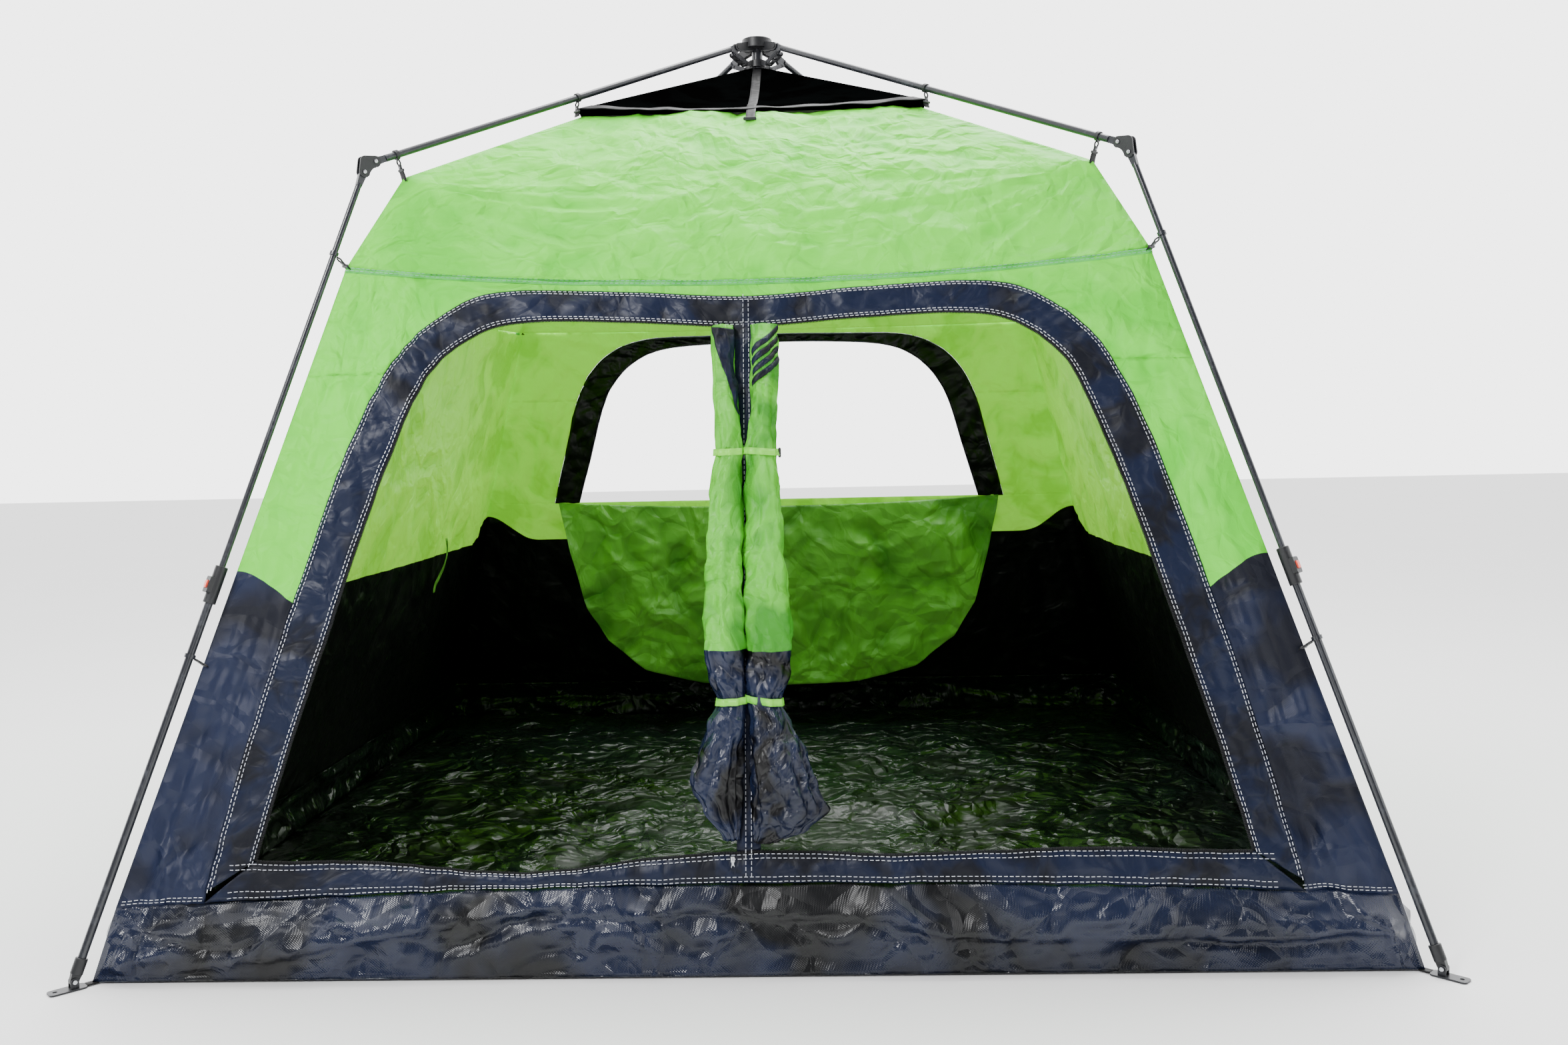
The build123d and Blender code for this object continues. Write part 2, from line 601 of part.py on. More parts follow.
def foot_plate():
    length = FOOT_IN + FOOT_OUT
    middle = FOOT_R + (FOOT_OUT - FOOT_IN) / 2
    base = Pos(middle, 0, 0) * Box(length, FOOT_PLATE_W, FOOT_PLATE_T, align=BOTTOM)
    base = fillet(base.edges().filter_by(Axis.Z), 8.0)
    ear_offset = SOCKET_TONGUE_T / 2 + GAP + PLATE_T / 2
    ear = Pos(*FOOT) * Circle(8) + Pos(FOOT_R, FOOT_Z / 2) * Rectangle(16, FOOT_Z)
    for side in (-1, 1):
        base += side_view(ear, PLATE_T, side * ear_offset)
    base += rivet(FOOT, 2 * (ear_offset + PLATE_T / 2))
    hole = Cylinder(STAKE_HOLE_R, 4 * FOOT_PLATE_T)
    return base - Pos(FOOT_R + STAKE_HOLE_OUT, 0, 0) * hole


# ---------------------------------------------------------------- straps from frame to cloth
def ring_clear(across, along, ring_r):
    """Where on a strap its rounded end stands clear of the ring that it hangs from."""
    reach = GAP + STRAP_T / 2
    flat = (ring_r + reach) / across
    if flat * along <= RING_W / 2:
        return flat
    near = across * ring_r + along * RING_W / 2
    miss = reach**2 + near**2 - ring_r**2 - (RING_W / 2) ** 2
    return near + math.sqrt(max(miss, 0.0))


def strap(ring_at, tube_way, tube_r, corner):
    """Webbing from a ring to the cloth's corner seam, both in the radial plane."""
    way, length = unit(ring_at, corner)
    across = abs(way[0] * tube_way[1] - way[1] * tube_way[0])
    along = abs(way[0] * tube_way[0] + way[1] * tube_way[1])
    start = step_along(ring_at, way, ring_clear(across, along, tube_r + GAP / 2 + RING_T))
    end = step_along(ring_at, way, length - GAP - STRAP_T / 2)
    return side_view(bar(start, end, STRAP_T / 2, STRAP_T / 2), STRAP_W)


def corner_straps():
    cap_ring = step_along(HUB_PIVOT, RAFTER_DIR, CAP_RING_S)
    break_ring = step_along(HUB_PIVOT, RAFTER_DIR, BREAK_RING_S)
    high_ring = step_along(KNEE, LEG_UP, -UPPER_RING_DOWN)
    low_ring = step_along(FOOT, LEG_UP, LOWER_RING_UP)
    cap_top = CAP_Z + upright_thickness(CAP_HALF, CAP_Z, 0, CAP_APEX_Z, CLOTH_T)
    roof_up = upright_thickness(EAVE_HALF, EAVE_Z, ROOF_BREAK_HALF, ROOF_BREAK_Z, CLOTH_T)
    joins = [
        (cap_ring, RAFTER_DIR, RAFTER_TUBE_R, CAP_HALF, cap_top),
        (break_ring, RAFTER_DIR, RAFTER_TUBE_R, ROOF_BREAK_HALF, ROOF_BREAK_Z + roof_up),
        (high_ring, LEG_UP, UPPER_TUBE_R, EAVE_HALF, EAVE_Z),
        (low_ring, LEG_UP, LOWER_TUBE_R, wall_half(low_ring[1]), low_ring[1]),
    ]
    straps = [strap(at, way, tube_r, (half * DIAGONAL, z)) for at, way, tube_r, half, z in joins]
    start, end = FLOOR_HALF * DIAGONAL + GAP, FOOT_R - FOOT_IN - GAP
    ground = Box(end - start, STRAP_W, STRAP_T, align=BOTTOM)
    straps.append(Pos((start + end) / 2, 0, 0) * ground)
    return [Rot(0, 0, angle) * item for angle in CORNERS.values() for item in straps]


# ---------------------------------------------------------------- write every node
def main():
    os.makedirs("parts", exist_ok=True)
    body_nodes = {
        "floor_tub": floor_tub(),
        "front_wall": front_wall(),
        "rear_wall": rear_wall(),
        "left_wall": turned([side_wall()], 270),
        "right_wall": turned([side_wall()], 90),
        "roof": roof(),
        "vent_mesh": vent_mesh(),
        "vent_cap": vent_cap(),
        "door_rolls": door_rolls(),
        "door_ties": door_ties(),
        "rear_flap": rear_flap(),
        "corner_straps": corner_straps(),
        "zip_slider": zip_slider(),
        "zip_pull": zip_pull(),
        "hub_crown": hub_crown(),
        "hub_post": hub_post(),
        "hub_slider": hub_slider(),
    }
    for name, pieces in body_nodes.items():
        save(name, pieces)
    corner_nodes = {
        "link": [link()],
        "rafter": [rafter()],
        "rafter_rings": rafter_rings(),
        "knuckle": [knuckle()],
        "upper_leg": upper_leg(),
        "lower_leg": lower_leg(),
        "sleeve": [sleeve()],
        "button": [button()],
        "foot_socket": [foot_socket()],
        "foot_plate": [foot_plate()],
    }
    for corner, angle in CORNERS.items():
        for name, pieces in corner_nodes.items():
            save(name + "_" + corner, turned(pieces, angle))
    print("fold", {k: round(v, 2) for k, v in FOLD.items()}, "leg", round(LEG_L, 1))


main()
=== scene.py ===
import json
import math
from functools import partial

import bmesh
import bpy
from mathutils import Matrix, Vector, noise


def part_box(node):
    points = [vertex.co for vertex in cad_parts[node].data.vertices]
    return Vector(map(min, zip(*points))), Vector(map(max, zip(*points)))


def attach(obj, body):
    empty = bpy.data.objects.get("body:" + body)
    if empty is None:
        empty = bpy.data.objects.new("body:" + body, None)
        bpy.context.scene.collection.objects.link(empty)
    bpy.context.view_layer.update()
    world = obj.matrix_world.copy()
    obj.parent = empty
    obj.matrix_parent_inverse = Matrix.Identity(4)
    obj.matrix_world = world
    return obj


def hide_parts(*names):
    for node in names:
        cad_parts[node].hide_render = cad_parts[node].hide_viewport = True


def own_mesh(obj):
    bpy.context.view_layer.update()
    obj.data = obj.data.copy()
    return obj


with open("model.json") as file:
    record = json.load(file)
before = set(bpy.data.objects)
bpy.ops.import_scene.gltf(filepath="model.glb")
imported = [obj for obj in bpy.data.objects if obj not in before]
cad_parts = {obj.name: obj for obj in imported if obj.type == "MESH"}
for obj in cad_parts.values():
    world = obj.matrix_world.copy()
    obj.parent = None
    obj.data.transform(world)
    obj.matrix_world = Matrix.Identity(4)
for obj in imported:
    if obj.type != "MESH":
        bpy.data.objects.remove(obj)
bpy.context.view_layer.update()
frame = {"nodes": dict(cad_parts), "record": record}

CREASE_SEED = 1795104623    # says where the creases fall, so that every run gives the same cloth
noise.seed_set(CREASE_SEED)

CORNER_ANGLES = {"front_left": 225.0, "front_right": 315.0, "rear_right": 45.0, "rear_left": 135.0}
FRONT, RIGHT, REAR, LEFT = range(4)

# ---------------------------------------------------------------- sizes, in metres
FLOOR_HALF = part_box("floor_tub")[1][0]
SEAM_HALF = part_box("front_wall")[1][0]
SEAM_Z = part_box("front_wall")[0][2]
EAVE_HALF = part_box("roof")[1][0]
EAVE_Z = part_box("front_wall")[1][2]
VENT_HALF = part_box("vent_mesh")[1][0]
VENT_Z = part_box("vent_mesh")[0][2]
CAP_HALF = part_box("vent_cap")[1][0]
CAP_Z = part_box("vent_cap")[0][2]
CAP_TOP_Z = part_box("vent_cap")[1][2]
BREAK_HALF = 0.822          # the roof's corner, where the steep slope turns to the shallow one
BREAK_Z = 1.749
BREAK_SHARE = 0.34          # share of the roof's rows below that corner
SPLIT_Z = 0.742             # green to navy change along the walls
SPLIT_RISE = 0.094          # how far it climbs at a corner
SEAM_RISE = 0.034           # how far the front tub seam climbs towards the door
SILL_Z = 0.240
EAVE_SAG = (0.050, 0.030, 0.010, 0.030)
CLOTH = 0.0012              # thickness of one layer, with its coating
BAND = 0.0016               # thickness of a doubled navy band
WINDOW_BAND = 0.0080        # thickness of the window's band, which shows on both faces of the wall
WEBBING_THICK = 0.0018
CAP_STRAP_W = 0.025

# arches of the front door and the rear window, left halves, (across, height)
DOOR_OUTER = [(-1.142, 0.178), (-1.085, 0.45), (-1.015, 0.729), (-0.940, 0.985), (-0.868, 1.190),
              (-0.785, 1.335), (-0.665, 1.428), (-0.540, 1.460), (-0.280, 1.452), (0, 1.436)]
DOOR_INNER = [(-1.043, 0.236), (-0.985, 0.47), (-0.915, 0.72), (-0.838, 0.985), (-0.768, 1.185),
              (-0.708, 1.292), (-0.600, 1.367), (-0.465, 1.386), (-0.240, 1.378), (0, 1.364)]
WINDOW_OUTER = [(-0.862, 0.885), (-0.802, 1.09), (-0.750, 1.26), (-0.690, 1.37),
                (-0.600, 1.450), (-0.470, 1.492), (-0.240, 1.500), (0, 1.502)]
WINDOW_INNER = [(-0.765, 0.885), (-0.700, 1.08), (-0.645, 1.25), (-0.585, 1.35),
                (-0.500, 1.420), (-0.390, 1.455), (-0.200, 1.468), (0, 1.470)]


# ---------------------------------------------------------------- small mathematics
def mix(a, b, t):
    return a + (b - a) * t


def smooth(t):
    t = min(max(t, 0.0), 1.0)
    return t * t * (3.0 - 2.0 * t)


def spline(points, t):
    """Smooth curve through points; t runs from 0 to 1 over them."""
    last = len(points) - 1
    place = min(max(t, 0.0), 1.0) * last
    i = min(int(place), last - 1)
    f = place - i
    p0, p1 = points[max(i - 1, 0)], points[i]
    p2, p3 = points[i + 1], points[min(i + 2, last)]

    def part(a, b, c, d):
        return 0.5 * (2 * b + (c - a) * f + (2 * a - 5 * b + 4 * c - d) * f * f
                      + (3 * b - a - 3 * c + d) * f * f * f)

    return tuple(part(a, b, c, d) for a, b, c, d in zip(p0, p1, p2, p3))


def whole_arch(left_half):
    return left_half + [(-x, z) for x, z in reversed(left_half[:-1])]


def edge_at(left_half, z):
    """Distance of an arch's side from the middle at height z."""
    for (x0, z0), (x1, z1) in zip(left_half, left_half[1:]):
        if z <= z1:
            return -mix(x0, x1, max(0.0, (z - z0) / (z1 - z0)))
    return -left_half[-1][0]


# ---------------------------------------------------------------- cloth shapes
def wave(x, y, seed):
    return noise.noise(Vector((x, y, seed)))


def ridged(p, size, seed):
    """Sharp ridges about size apart, from 0 to 1."""
    q = Vector(p) / size + Vector((seed, 1.7 * seed, -seed))
    q += noise.noise_vector(q * 0.6) * 0.55
    return 1.0 - min(1.0, 2.4 * abs(noise.noise(q)))


def crumple(p, size, seed):
    """Crumpled cloth with sharp ridges and sharp valleys, from about -1 to 1."""
    return ridged(p, size, seed) - ridged(p, size, seed + 50.0)


def fan(u, z, u0, z0, count, seed):
    """Folds that run out from a pulled corner at (u0, z0)."""
    r = math.hypot(u - u0, z - z0)
    angle = math.atan2(z - z0, (u - u0) * (1 if u0 < 0 else -1))
    return wave(angle * count, r * 0.9, seed) * smooth(r / 0.15) * math.exp(-r / 0.75)


def wall_half(z):
    return mix(SEAM_HALF, EAVE_HALF, (z - SEAM_Z) / (EAVE_Z - SEAM_Z))


def split_z(q):
    """Height of the green to navy change; q is the place across the wall, from -1 to 1."""
    return SPLIT_Z + SPLIT_RISE * smooth((abs(q) - 0.80) / 0.20) ** 1.2


def seam_z(side, q):
    return SEAM_Z + (SEAM_RISE * (1 - q * q) if side == FRONT else 0.0)


def eave_z(side, q):
    return EAVE_Z - EAVE_SAG[side] * (1 - q * q)


def sill_z(u):
    return SILL_Z - 0.032 * math.exp(-(((u + 0.52) / 0.26) ** 2)) + 0.004 * math.cos(9 * u)


def turned(side, u, out, z):
    """A point at u across and out from the middle of the tent, on one of its four sides."""
    return Vector(((u, -out), (out, u), (-u, out), (-out, -u))[side] + (z,))


def wall_bulge(side, u, z):
    """How far the wall stands out from its flat shape: it bows in, and carries folds."""
    q = u / wall_half(z)
    t = (z - SEAM_Z) / (EAVE_Z - SEAM_Z)
    hold = smooth((1 - abs(q)) / 0.05)
    corner = smooth((abs(q) - 0.72) / 0.16)
    low = smooth((0.62 - t) / 0.35)
    seed = 10.0 * side
    bow = -(1 - q * q) * (0.010 * t + 0.024 * math.sin(math.pi * min(max(t, 0), 1)))
    upright = (0.0035 + 0.0125 * corner) * wave(q * 24.0, z * 0.9, seed + 1) * (0.25 + 0.75 * low)
    upright += 0.004 * wave(q * 60.0, z * 1.4, seed + 4) * corner
    pulled = sum(0.016 * fan(u, z, way * EAVE_HALF, EAVE_Z, 9.0, seed + 2 + way) for way in (-1, 1))
    pulled += sum(0.010 * fan(u, z, way * SEAM_HALF, SEAM_Z, 8.0, seed + 6 + way) for way in (-1, 1))
    fine = 0.0046 * crumple((u, z * 0.7, 0), 0.17, seed + 3)
    fine += 0.0020 * crumple((u, z, 0), 0.07, seed + 5)
    return bow + (upright + pulled + fine) * hold


def wall_point(side, u, z, lift=0.0):
    return turned(side, u, wall_half(z) + wall_bulge(side, u, z) + lift, z)


def roof_point(side, q, t, lift=0.0):
    """A point on the roof; q is across it from hip to hip, t from the eave seam to the vent."""
    if t < BREAK_SHARE:
        s = t / BREAK_SHARE
        hip = (mix(EAVE_HALF, BREAK_HALF, s), mix(EAVE_Z, BREAK_Z, s))
    else:
        s = (t - BREAK_SHARE) / (1 - BREAK_SHARE)
        hip = (mix(BREAK_HALF, VENT_HALF, s), mix(BREAK_Z, VENT_Z, s))
    low = (wall_half(eave_z(side, q)) - 0.012, eave_z(side, 0))
    bend = (BREAK_HALF + 0.030, BREAK_Z + 0.020)
    a, b, c = (1 - t) ** 2, 2 * t * (1 - t), t * t
    middle = (a * low[0] + b * bend[0] + c * VENT_HALF, a * low[1] + b * bend[1] + c * VENT_Z)
    w = abs(q) ** 2.6
    out, z = mix(middle[0], hip[0], w), mix(middle[1], hip[1], w)
    if t < 0.001:
        out, z = wall_half(eave_z(side, q)) - 0.012 * (1 - q * q), eave_z(side, q)
    hold = smooth((1 - abs(q)) / 0.12) * smooth(t / 0.06)
    u = q * hip[0]
    seed = 40.0 + 10 * side
    middle_share = math.exp(-((u / 0.5) ** 2))
    crease = (0.0042 + 0.0060 * middle_share) * crumple((u, t * 1.1, 0), 0.19, seed)
    crease += (0.0018 + 0.0030 * middle_share) * crumple((u * 1.2, t * 1.2, 3), 0.075, seed + 3)
    crease += 0.006 * wave(u * 4.0 + 3 * t, t * 3.5, seed + 5)
    for way in (-1, 1):
        crease += 0.015 * fan(u, t, way * BREAK_HALF, BREAK_SHARE, 10.0, seed + 7 + way)
    lean = 0.45 if t > BREAK_SHARE else 0.85
    rise = crease * hold + lift
    return turned(side, u, out + rise * lean, z + rise * (1.2 - lean))


def tub_point(side, q, t):
    """A point on the groundsheet's low wall; t runs from the ground up to the seam."""
    top = seam_z(side, q)
    z = mix(0.004, top, t)
    out = mix(FLOOR_HALF, wall_half(top) + wall_bulge(side, q * wall_half(top), top), t)
    u = q * mix(FLOOR_HALF, SEAM_HALF, t)
    hold = smooth((1 - abs(q)) / 0.04) * math.sin(math.pi * min(max(t, 0.0), 1.0)) ** 0.7
    seed = 80.0 + 10 * side
    crush = 0.013 * crumple((u * 0.75, z * 1.7, 0), 0.17, seed)
    crush += 0.006 * crumple((u, z * 1.3, 2), 0.060, seed + 2)
    crush += 0.012 * wave(u * 2.6, z * 5, seed + 4)
    ledge = 0.020 + 0.105 * smooth((u + 1.25) / 0.85) - 0.055 * smooth((u - 0.1) / 0.5)
    ledge += 0.012 * wave(u * 6, 1.0, seed + 6)
    crush += 0.017 * (smooth((z - ledge + 0.010) / 0.020) - 0.5)
    roll = 0.020 * math.sin(math.pi * t)
    wavy = 0.010 * wave(u * 2.2, 0.5, seed + 8) * math.sin(math.pi * t)
    return turned(side, u, out + (crush + roll) * hold, z + wavy * hold)


def floor_z(x, y):
    edge = smooth((FLOOR_HALF - max(abs(x), abs(y))) / 0.10)
    height = 0.011 * crumple((x, y * 0.8, 0), 0.26, 7.0) + 0.005 * crumple((x, y, 4), 0.09, 9.0)
    height += 0.010 * wave(x * 2.2, y * 2.2, 5.0) + 0.022
    return 0.004 + height * edge


def cap_point(side, q, t, lift=0.0):
    """A point on the vent cap; t runs from the hem to the post."""
    half = mix(CAP_HALF, 0.017, t)
    droop = (1 - q * q) * (0.012 * (1 - t) + 0.022 * math.sin(math.pi * t))
    pucker = 0.006 * wave(q * half * 14, t * 5, 3.0 + side) * (1 - t)
    hold = smooth((1 - abs(q)) / 0.10)
    z = mix(CAP_Z, CAP_TOP_Z, t) - droop + pucker * hold + lift
    return turned(side, q * half, half, z)


# ---------------------------------------------------------------- mesh helpers
def make_mesh(name, points, faces, uvs=None, marks=None, materials=()):
    mesh = bpy.data.meshes.new(name)
    mesh.from_pydata([tuple(p) for p in points], [], faces)
    for material in materials:
        mesh.materials.append(material)
    if uvs:
        layer = mesh.uv_layers.new(name="cloth")
        for loop in mesh.loops:
            layer.data[loop.index].uv = uvs[loop.vertex_index]
    for polygon in mesh.polygons:
        polygon.use_smooth = True
        polygon.material_index = marks[polygon.index] if marks else 0
    piece = bpy.data.objects.new(name, mesh)
    bpy.context.scene.collection.objects.link(piece)
    return piece


def patch(name, across, up, point, materials, mark=None, outward=(0, 0, 0.8)):
    """A grid of cloth: point(a, b) gives the place at a across and b up, both from 0 to 1."""
    points = [point(i / across, j / up) for j in range(up + 1) for i in range(across + 1)]
    uvs = []
    for j in range(up + 1):
        run = 0.0
        for i in range(across + 1):
            here = points[j * (across + 1) + i]
            if i:
                run += (here - points[j * (across + 1) + i - 1]).length
            uvs.append((run, here.z))
    faces, marks = [], []
    for j in range(up):
        for i in range(across):
            k = j * (across + 1) + i
            faces.append((k, k + 1, k + across + 2, k + across + 1))
            marks.append(mark((i + 0.5) / across, (j + 0.5) / up) if mark else 0)
    piece = make_mesh(name, points, faces, uvs, marks, materials)
    face_outward(piece, outward)
    return piece


def round_tent(name, across, up, point, materials, outward=(0, 0, 0.8)):
    """The same sheet on each side of the tent; point takes the side as well."""
    return [patch(name, across, up, partial(point, side), materials, outward=outward) for side in range(4)]


def face_outward(piece, centre):
    """Turns an open sheet's faces so that they look away from centre."""
    centre = Vector(centre)
    total = 0.0
    for polygon in piece.data.polygons:
        total += polygon.area * polygon.normal.dot(polygon.center - centre)
    if total < 0:
        piece.data.flip_normals()


def join(name, *pieces):
    bpy.ops.object.select_all(action="DESELECT")
    for piece in pieces:
        piece.select_set(True)
    bpy.context.view_layer.objects.active = pieces[0]
    bpy.ops.object.join()
    pieces[0].name = name
    pieces[0].data.name = name
    return pieces[0]


def weld(piece, distance=0.0006):
    shape = bmesh.new()
    shape.from_mesh(piece.data)
    bmesh.ops.remove_doubles(shape, verts=shape.verts, dist=distance)
    shape.to_mesh(piece.data)
    shape.free()
    return piece


def thicken(piece, thickness=CLOTH, inner_offset=0):
    """Gives an open sheet its thickness, inwards; the inner face may take later materials."""
    solid = piece.modifiers.new("thickness", "SOLIDIFY")
    solid.thickness = thickness
    solid.offset = -1.0
    solid.material_offset = inner_offset
    solid.material_offset_rim = 0
    apply_modifiers(piece)
    return piece


def apply_modifiers(piece):
    bpy.ops.object.select_all(action="DESELECT")
    piece.select_set(True)
    bpy.context.view_layer.objects.active = piece
    for modifier in list(piece.modifiers):
        bpy.ops.object.modifier_apply(modifier=modifier.name)


def settle(piece, replaced=(), body="tent"):
    """Puts a cloth piece on the tent's body, with a mesh of its own, and hides the parts it replaces."""
    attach(piece, body)
    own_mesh(piece)
    for node in replaced:
        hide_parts(node)


# ---------------------------------------------------------------- shader node groups
def group(name, inputs, outputs):
    tree = bpy.data.node_groups.new(name, "ShaderNodeTree")
    for label, kind, value in inputs:
        socket = tree.interface.new_socket(name=label, in_out="INPUT", socket_type="NodeSocket" + kind)
        socket.default_value = value
    for label, kind in outputs:
        tree.interface.new_socket(name=label, in_out="OUTPUT", socket_type="NodeSocket" + kind)
    entry = tree.nodes.new("NodeGroupInput")
    leave = tree.nodes.new("NodeGroupOutput")
    return tree, entry.outputs, leave.inputs


def add(tree, kind, **settings):
    """A shader node; settings name its sockets (values or links) or its own properties."""
    node = tree.nodes.new("ShaderNode" + kind)
    for key, value in settings.items():
        label = key.replace("_", " ").title() if key[0].islower() else key
        if label in node.inputs:
            feed(tree, node.inputs[label], value)
        else:
            setattr(node, key, value)
    return node


def feed(tree, socket, value):
    if isinstance(value, bpy.types.NodeSocket):
        tree.links.new(value, socket)
    else:
        socket.default_value = value


def maths(tree, operation, first, second=0.0):
    node = tree.nodes.new("ShaderNodeMath")
    node.operation = operation
    feed(tree, node.inputs[0], first)
    feed(tree, node.inputs[1], second)
    return node.outputs[0]


def blend_colours(tree, share, first, second):
    node = tree.nodes.new("ShaderNodeMix")
    node.data_type = "RGBA"
    feed(tree, node.inputs[0], share)
    feed(tree, node.inputs[6], first)
    feed(tree, node.inputs[7], second)
    return node.outputs[2]


def stretch(tree, value, low, high, to_low=0.0, to_high=1.0):
    node = tree.nodes.new("ShaderNodeMapRange")
    feed(tree, node.inputs["Value"], value)
    node.inputs["From Min"].default_value = low
    node.inputs["From Max"].default_value = high
    node.inputs["To Min"].default_value = to_low
    node.inputs["To Max"].default_value = to_high
    return node.outputs["Result"]


def object_place(tree):
    return tree.nodes.new("ShaderNodeTexCoord").outputs["Object"]


def noise_value(tree, place, scale, detail, roughness=0.55):
    node = add(tree, "TexNoise", scale=scale, detail=detail, roughness=roughness)
    tree.links.new(place, node.inputs["Vector"])
    return node.outputs["Fac"]


def make_creases():
    """Crease lines and facets of thin coated cloth that was packed away, and a painted shade mask: darker in
    the valleys between crease ridges and in broad random patches of painted light and shade.
    """
    tree, given, out = group(
        "packed_creases_and_painted_shade",
        [("Place", "Vector", (0, 0, 0)), ("Facets", "Float", 9.0), ("Depth", "Float", 1.0)],
        [("Height", "Float"), ("Painted Shade", "Float")],
    )
    bend = add(tree, "TexNoise", scale=2.2, detail=3.0)
    tree.links.new(given["Place"], bend.inputs["Vector"])
    moved = add(tree, "VectorMath", operation="MULTIPLY_ADD")
    tree.links.new(bend.outputs["Color"], moved.inputs[0])
    moved.inputs[1].default_value = (0.30, 0.30, 0.30)
    tree.links.new(given["Place"], moved.inputs[2])
    total = None
    for factor, share in ((0.55, 0.55), (1.3, 0.22)):
        ridge = add(tree, "TexNoise", noise_type="RIDGED_MULTIFRACTAL", detail=2.0, roughness=0.5,
                    Offset=0.9, Gain=1.6)
        tree.links.new(moved.outputs[0], ridge.inputs["Vector"])
        tree.links.new(maths(tree, "MULTIPLY", given["Facets"], factor), ridge.inputs["Scale"])
        part = maths(tree, "MULTIPLY", ridge.outputs["Fac"], share)
        total = part if total is None else maths(tree, "ADD", total, part)
    for factor, share in ((0.8, 1.1), (2.1, 0.5)):
        cell = add(tree, "TexVoronoi", feature="DISTANCE_TO_EDGE")
        tree.links.new(moved.outputs[0], cell.inputs["Vector"])
        tree.links.new(maths(tree, "MULTIPLY", given["Facets"], factor), cell.inputs["Scale"])
        shallow = maths(tree, "MINIMUM", cell.outputs["Distance"], 0.16)
        total = maths(tree, "ADD", total, maths(tree, "MULTIPLY", shallow, share))
    tree.links.new(maths(tree, "MULTIPLY", total, given["Depth"]), out["Height"])
    # Painted shade: the mask is 1 where the cloth is painted dark, in the crease valleys and in broad random
    # patches that stand in for lit and shaded folds.
    patchy = noise_value(tree, given["Place"], 2.3, 4.0, 0.6)
    painted_shade_patches = maths(tree, "MULTIPLY", stretch(tree, patchy, 0.35, 0.65), 0.45)
    painted_valley_shade = maths(tree, "MULTIPLY", stretch(tree, total, 0.30, 0.85, 1.0, 0.0), 0.55)
    tree.links.new(stretch(tree, maths(tree, "ADD", painted_shade_patches, painted_valley_shade), 0.30, 0.66), out["Painted Shade"])
    return tree


def make_weave():
    """Fine crossed threads: a height and a mask, at a given number of threads a metre."""
    tree, given, out = group(
        "plain_weave",
        [("Place", "Vector", (0, 0, 0)), ("Threads", "Float", 600.0)],
        [("Height", "Float"), ("Mask", "Float")],
    )
    axes = tree.nodes.new("ShaderNodeSeparateXYZ")
    tree.links.new(given["Place"], axes.inputs[0])
    across = maths(tree, "ADD", axes.outputs[0], axes.outputs[1])
    threads = []
    for way in (across, axes.outputs[2]):
        turn = maths(tree, "MULTIPLY", maths(tree, "MULTIPLY", way, given["Threads"]), math.pi)
        threads.append(maths(tree, "SINE", turn))
    height = maths(tree, "MULTIPLY", *threads)
    tree.links.new(height, out["Height"])
    tree.links.new(stretch(tree, height, -1.0, 1.0), out["Mask"])
    return tree


def make_wear():
    """Fine scratches and scuffs on coated metal and moulded plastic."""
    tree, given, out = group(
        "scuffs",
        [("Place", "Vector", (0, 0, 0)), ("Scale", "Float", 60.0)],
        [("Mask", "Float"), ("Height", "Float")],
    )
    fine = add(tree, "TexNoise", detail=5.0, roughness=0.7)
    tree.links.new(given["Place"], fine.inputs["Vector"])
    tree.links.new(given["Scale"], fine.inputs["Scale"])
    coarse = noise_value(tree, given["Place"], 9.0, 3.0)
    both = maths(tree, "MULTIPLY", fine.outputs["Fac"], coarse)
    tree.links.new(stretch(tree, both, 0.26, 0.42), out["Mask"])
    tree.links.new(fine.outputs["Fac"], out["Height"])
    return tree


CREASES, WEAVE, SCUFFS = make_creases(), make_weave(), make_wear()


def use_group(tree, which, **values):
    node = tree.nodes.new("ShaderNodeGroup")
    node.node_tree = which
    for label, value in values.items():
        feed(tree, node.inputs[label], value)
    return node.outputs


# ---------------------------------------------------------------- materials
def material(name):
    made = bpy.data.materials.new(name)
    made.use_nodes = True
    tree = made.node_tree
    return made, tree, tree.nodes["Principled BSDF"]


def linear(red, green, blue):
    """A colour given as on a screen, from 0 to 255, as the shader wants it."""
    def channel(value):
        value /= 255.0
        return value / 12.92 if value <= 0.04045 else ((value + 0.055) / 1.055) ** 2.4
    return (channel(red), channel(green), channel(blue), 1.0)


def cloth_material(name, light, dark, rough, facets=8.0, depth=1.0, bump=0.010, threads=700.0,
                   coat=0.0, painted_glow=0.0, specular=0.5):
    made, tree, shader = material(name)
    place = object_place(tree)
    crease = use_group(tree, CREASES, Place=place, Facets=facets, Depth=depth)
    weave = use_group(tree, WEAVE, Place=place, Threads=threads)
    # Painted light and shade: the painted shade mask blends the cloth from its lit colour, light, to its
    # shaded colour, dark; the weave then darkens it a little between threads.
    colour = blend_colours(tree, crease["Painted Shade"], light, dark)
    colour = blend_colours(tree, stretch(tree, weave["Mask"], 0, 1, 0.0, 0.10), colour, dark)
    tree.links.new(colour, shader.inputs["Base Color"])
    roughness = stretch(tree, crease["Painted Shade"], 0, 1, rough - 0.05, rough + 0.07)
    tree.links.new(roughness, shader.inputs["Roughness"])
    height = maths(tree, "ADD", crease["Height"], maths(tree, "MULTIPLY", weave["Height"], 0.004))
    bumped = add(tree, "Bump", strength=0.85, distance=bump, height=height)
    tree.links.new(bumped.outputs["Normal"], shader.inputs["Normal"])
    shader.inputs["Coat Weight"].default_value = coat
    shader.inputs["Coat Roughness"].default_value = 0.22
    shader.inputs["Specular IOR Level"].default_value = specular
    # Painted light: the cloth's own colour glows, standing in for the daylight that comes in through the
    # door, the window and the thin cloth.
    if painted_glow:
        tree.links.new(colour, shader.inputs["Emission Color"])
        shader.inputs["Emission Strength"].default_value = painted_glow
    return made


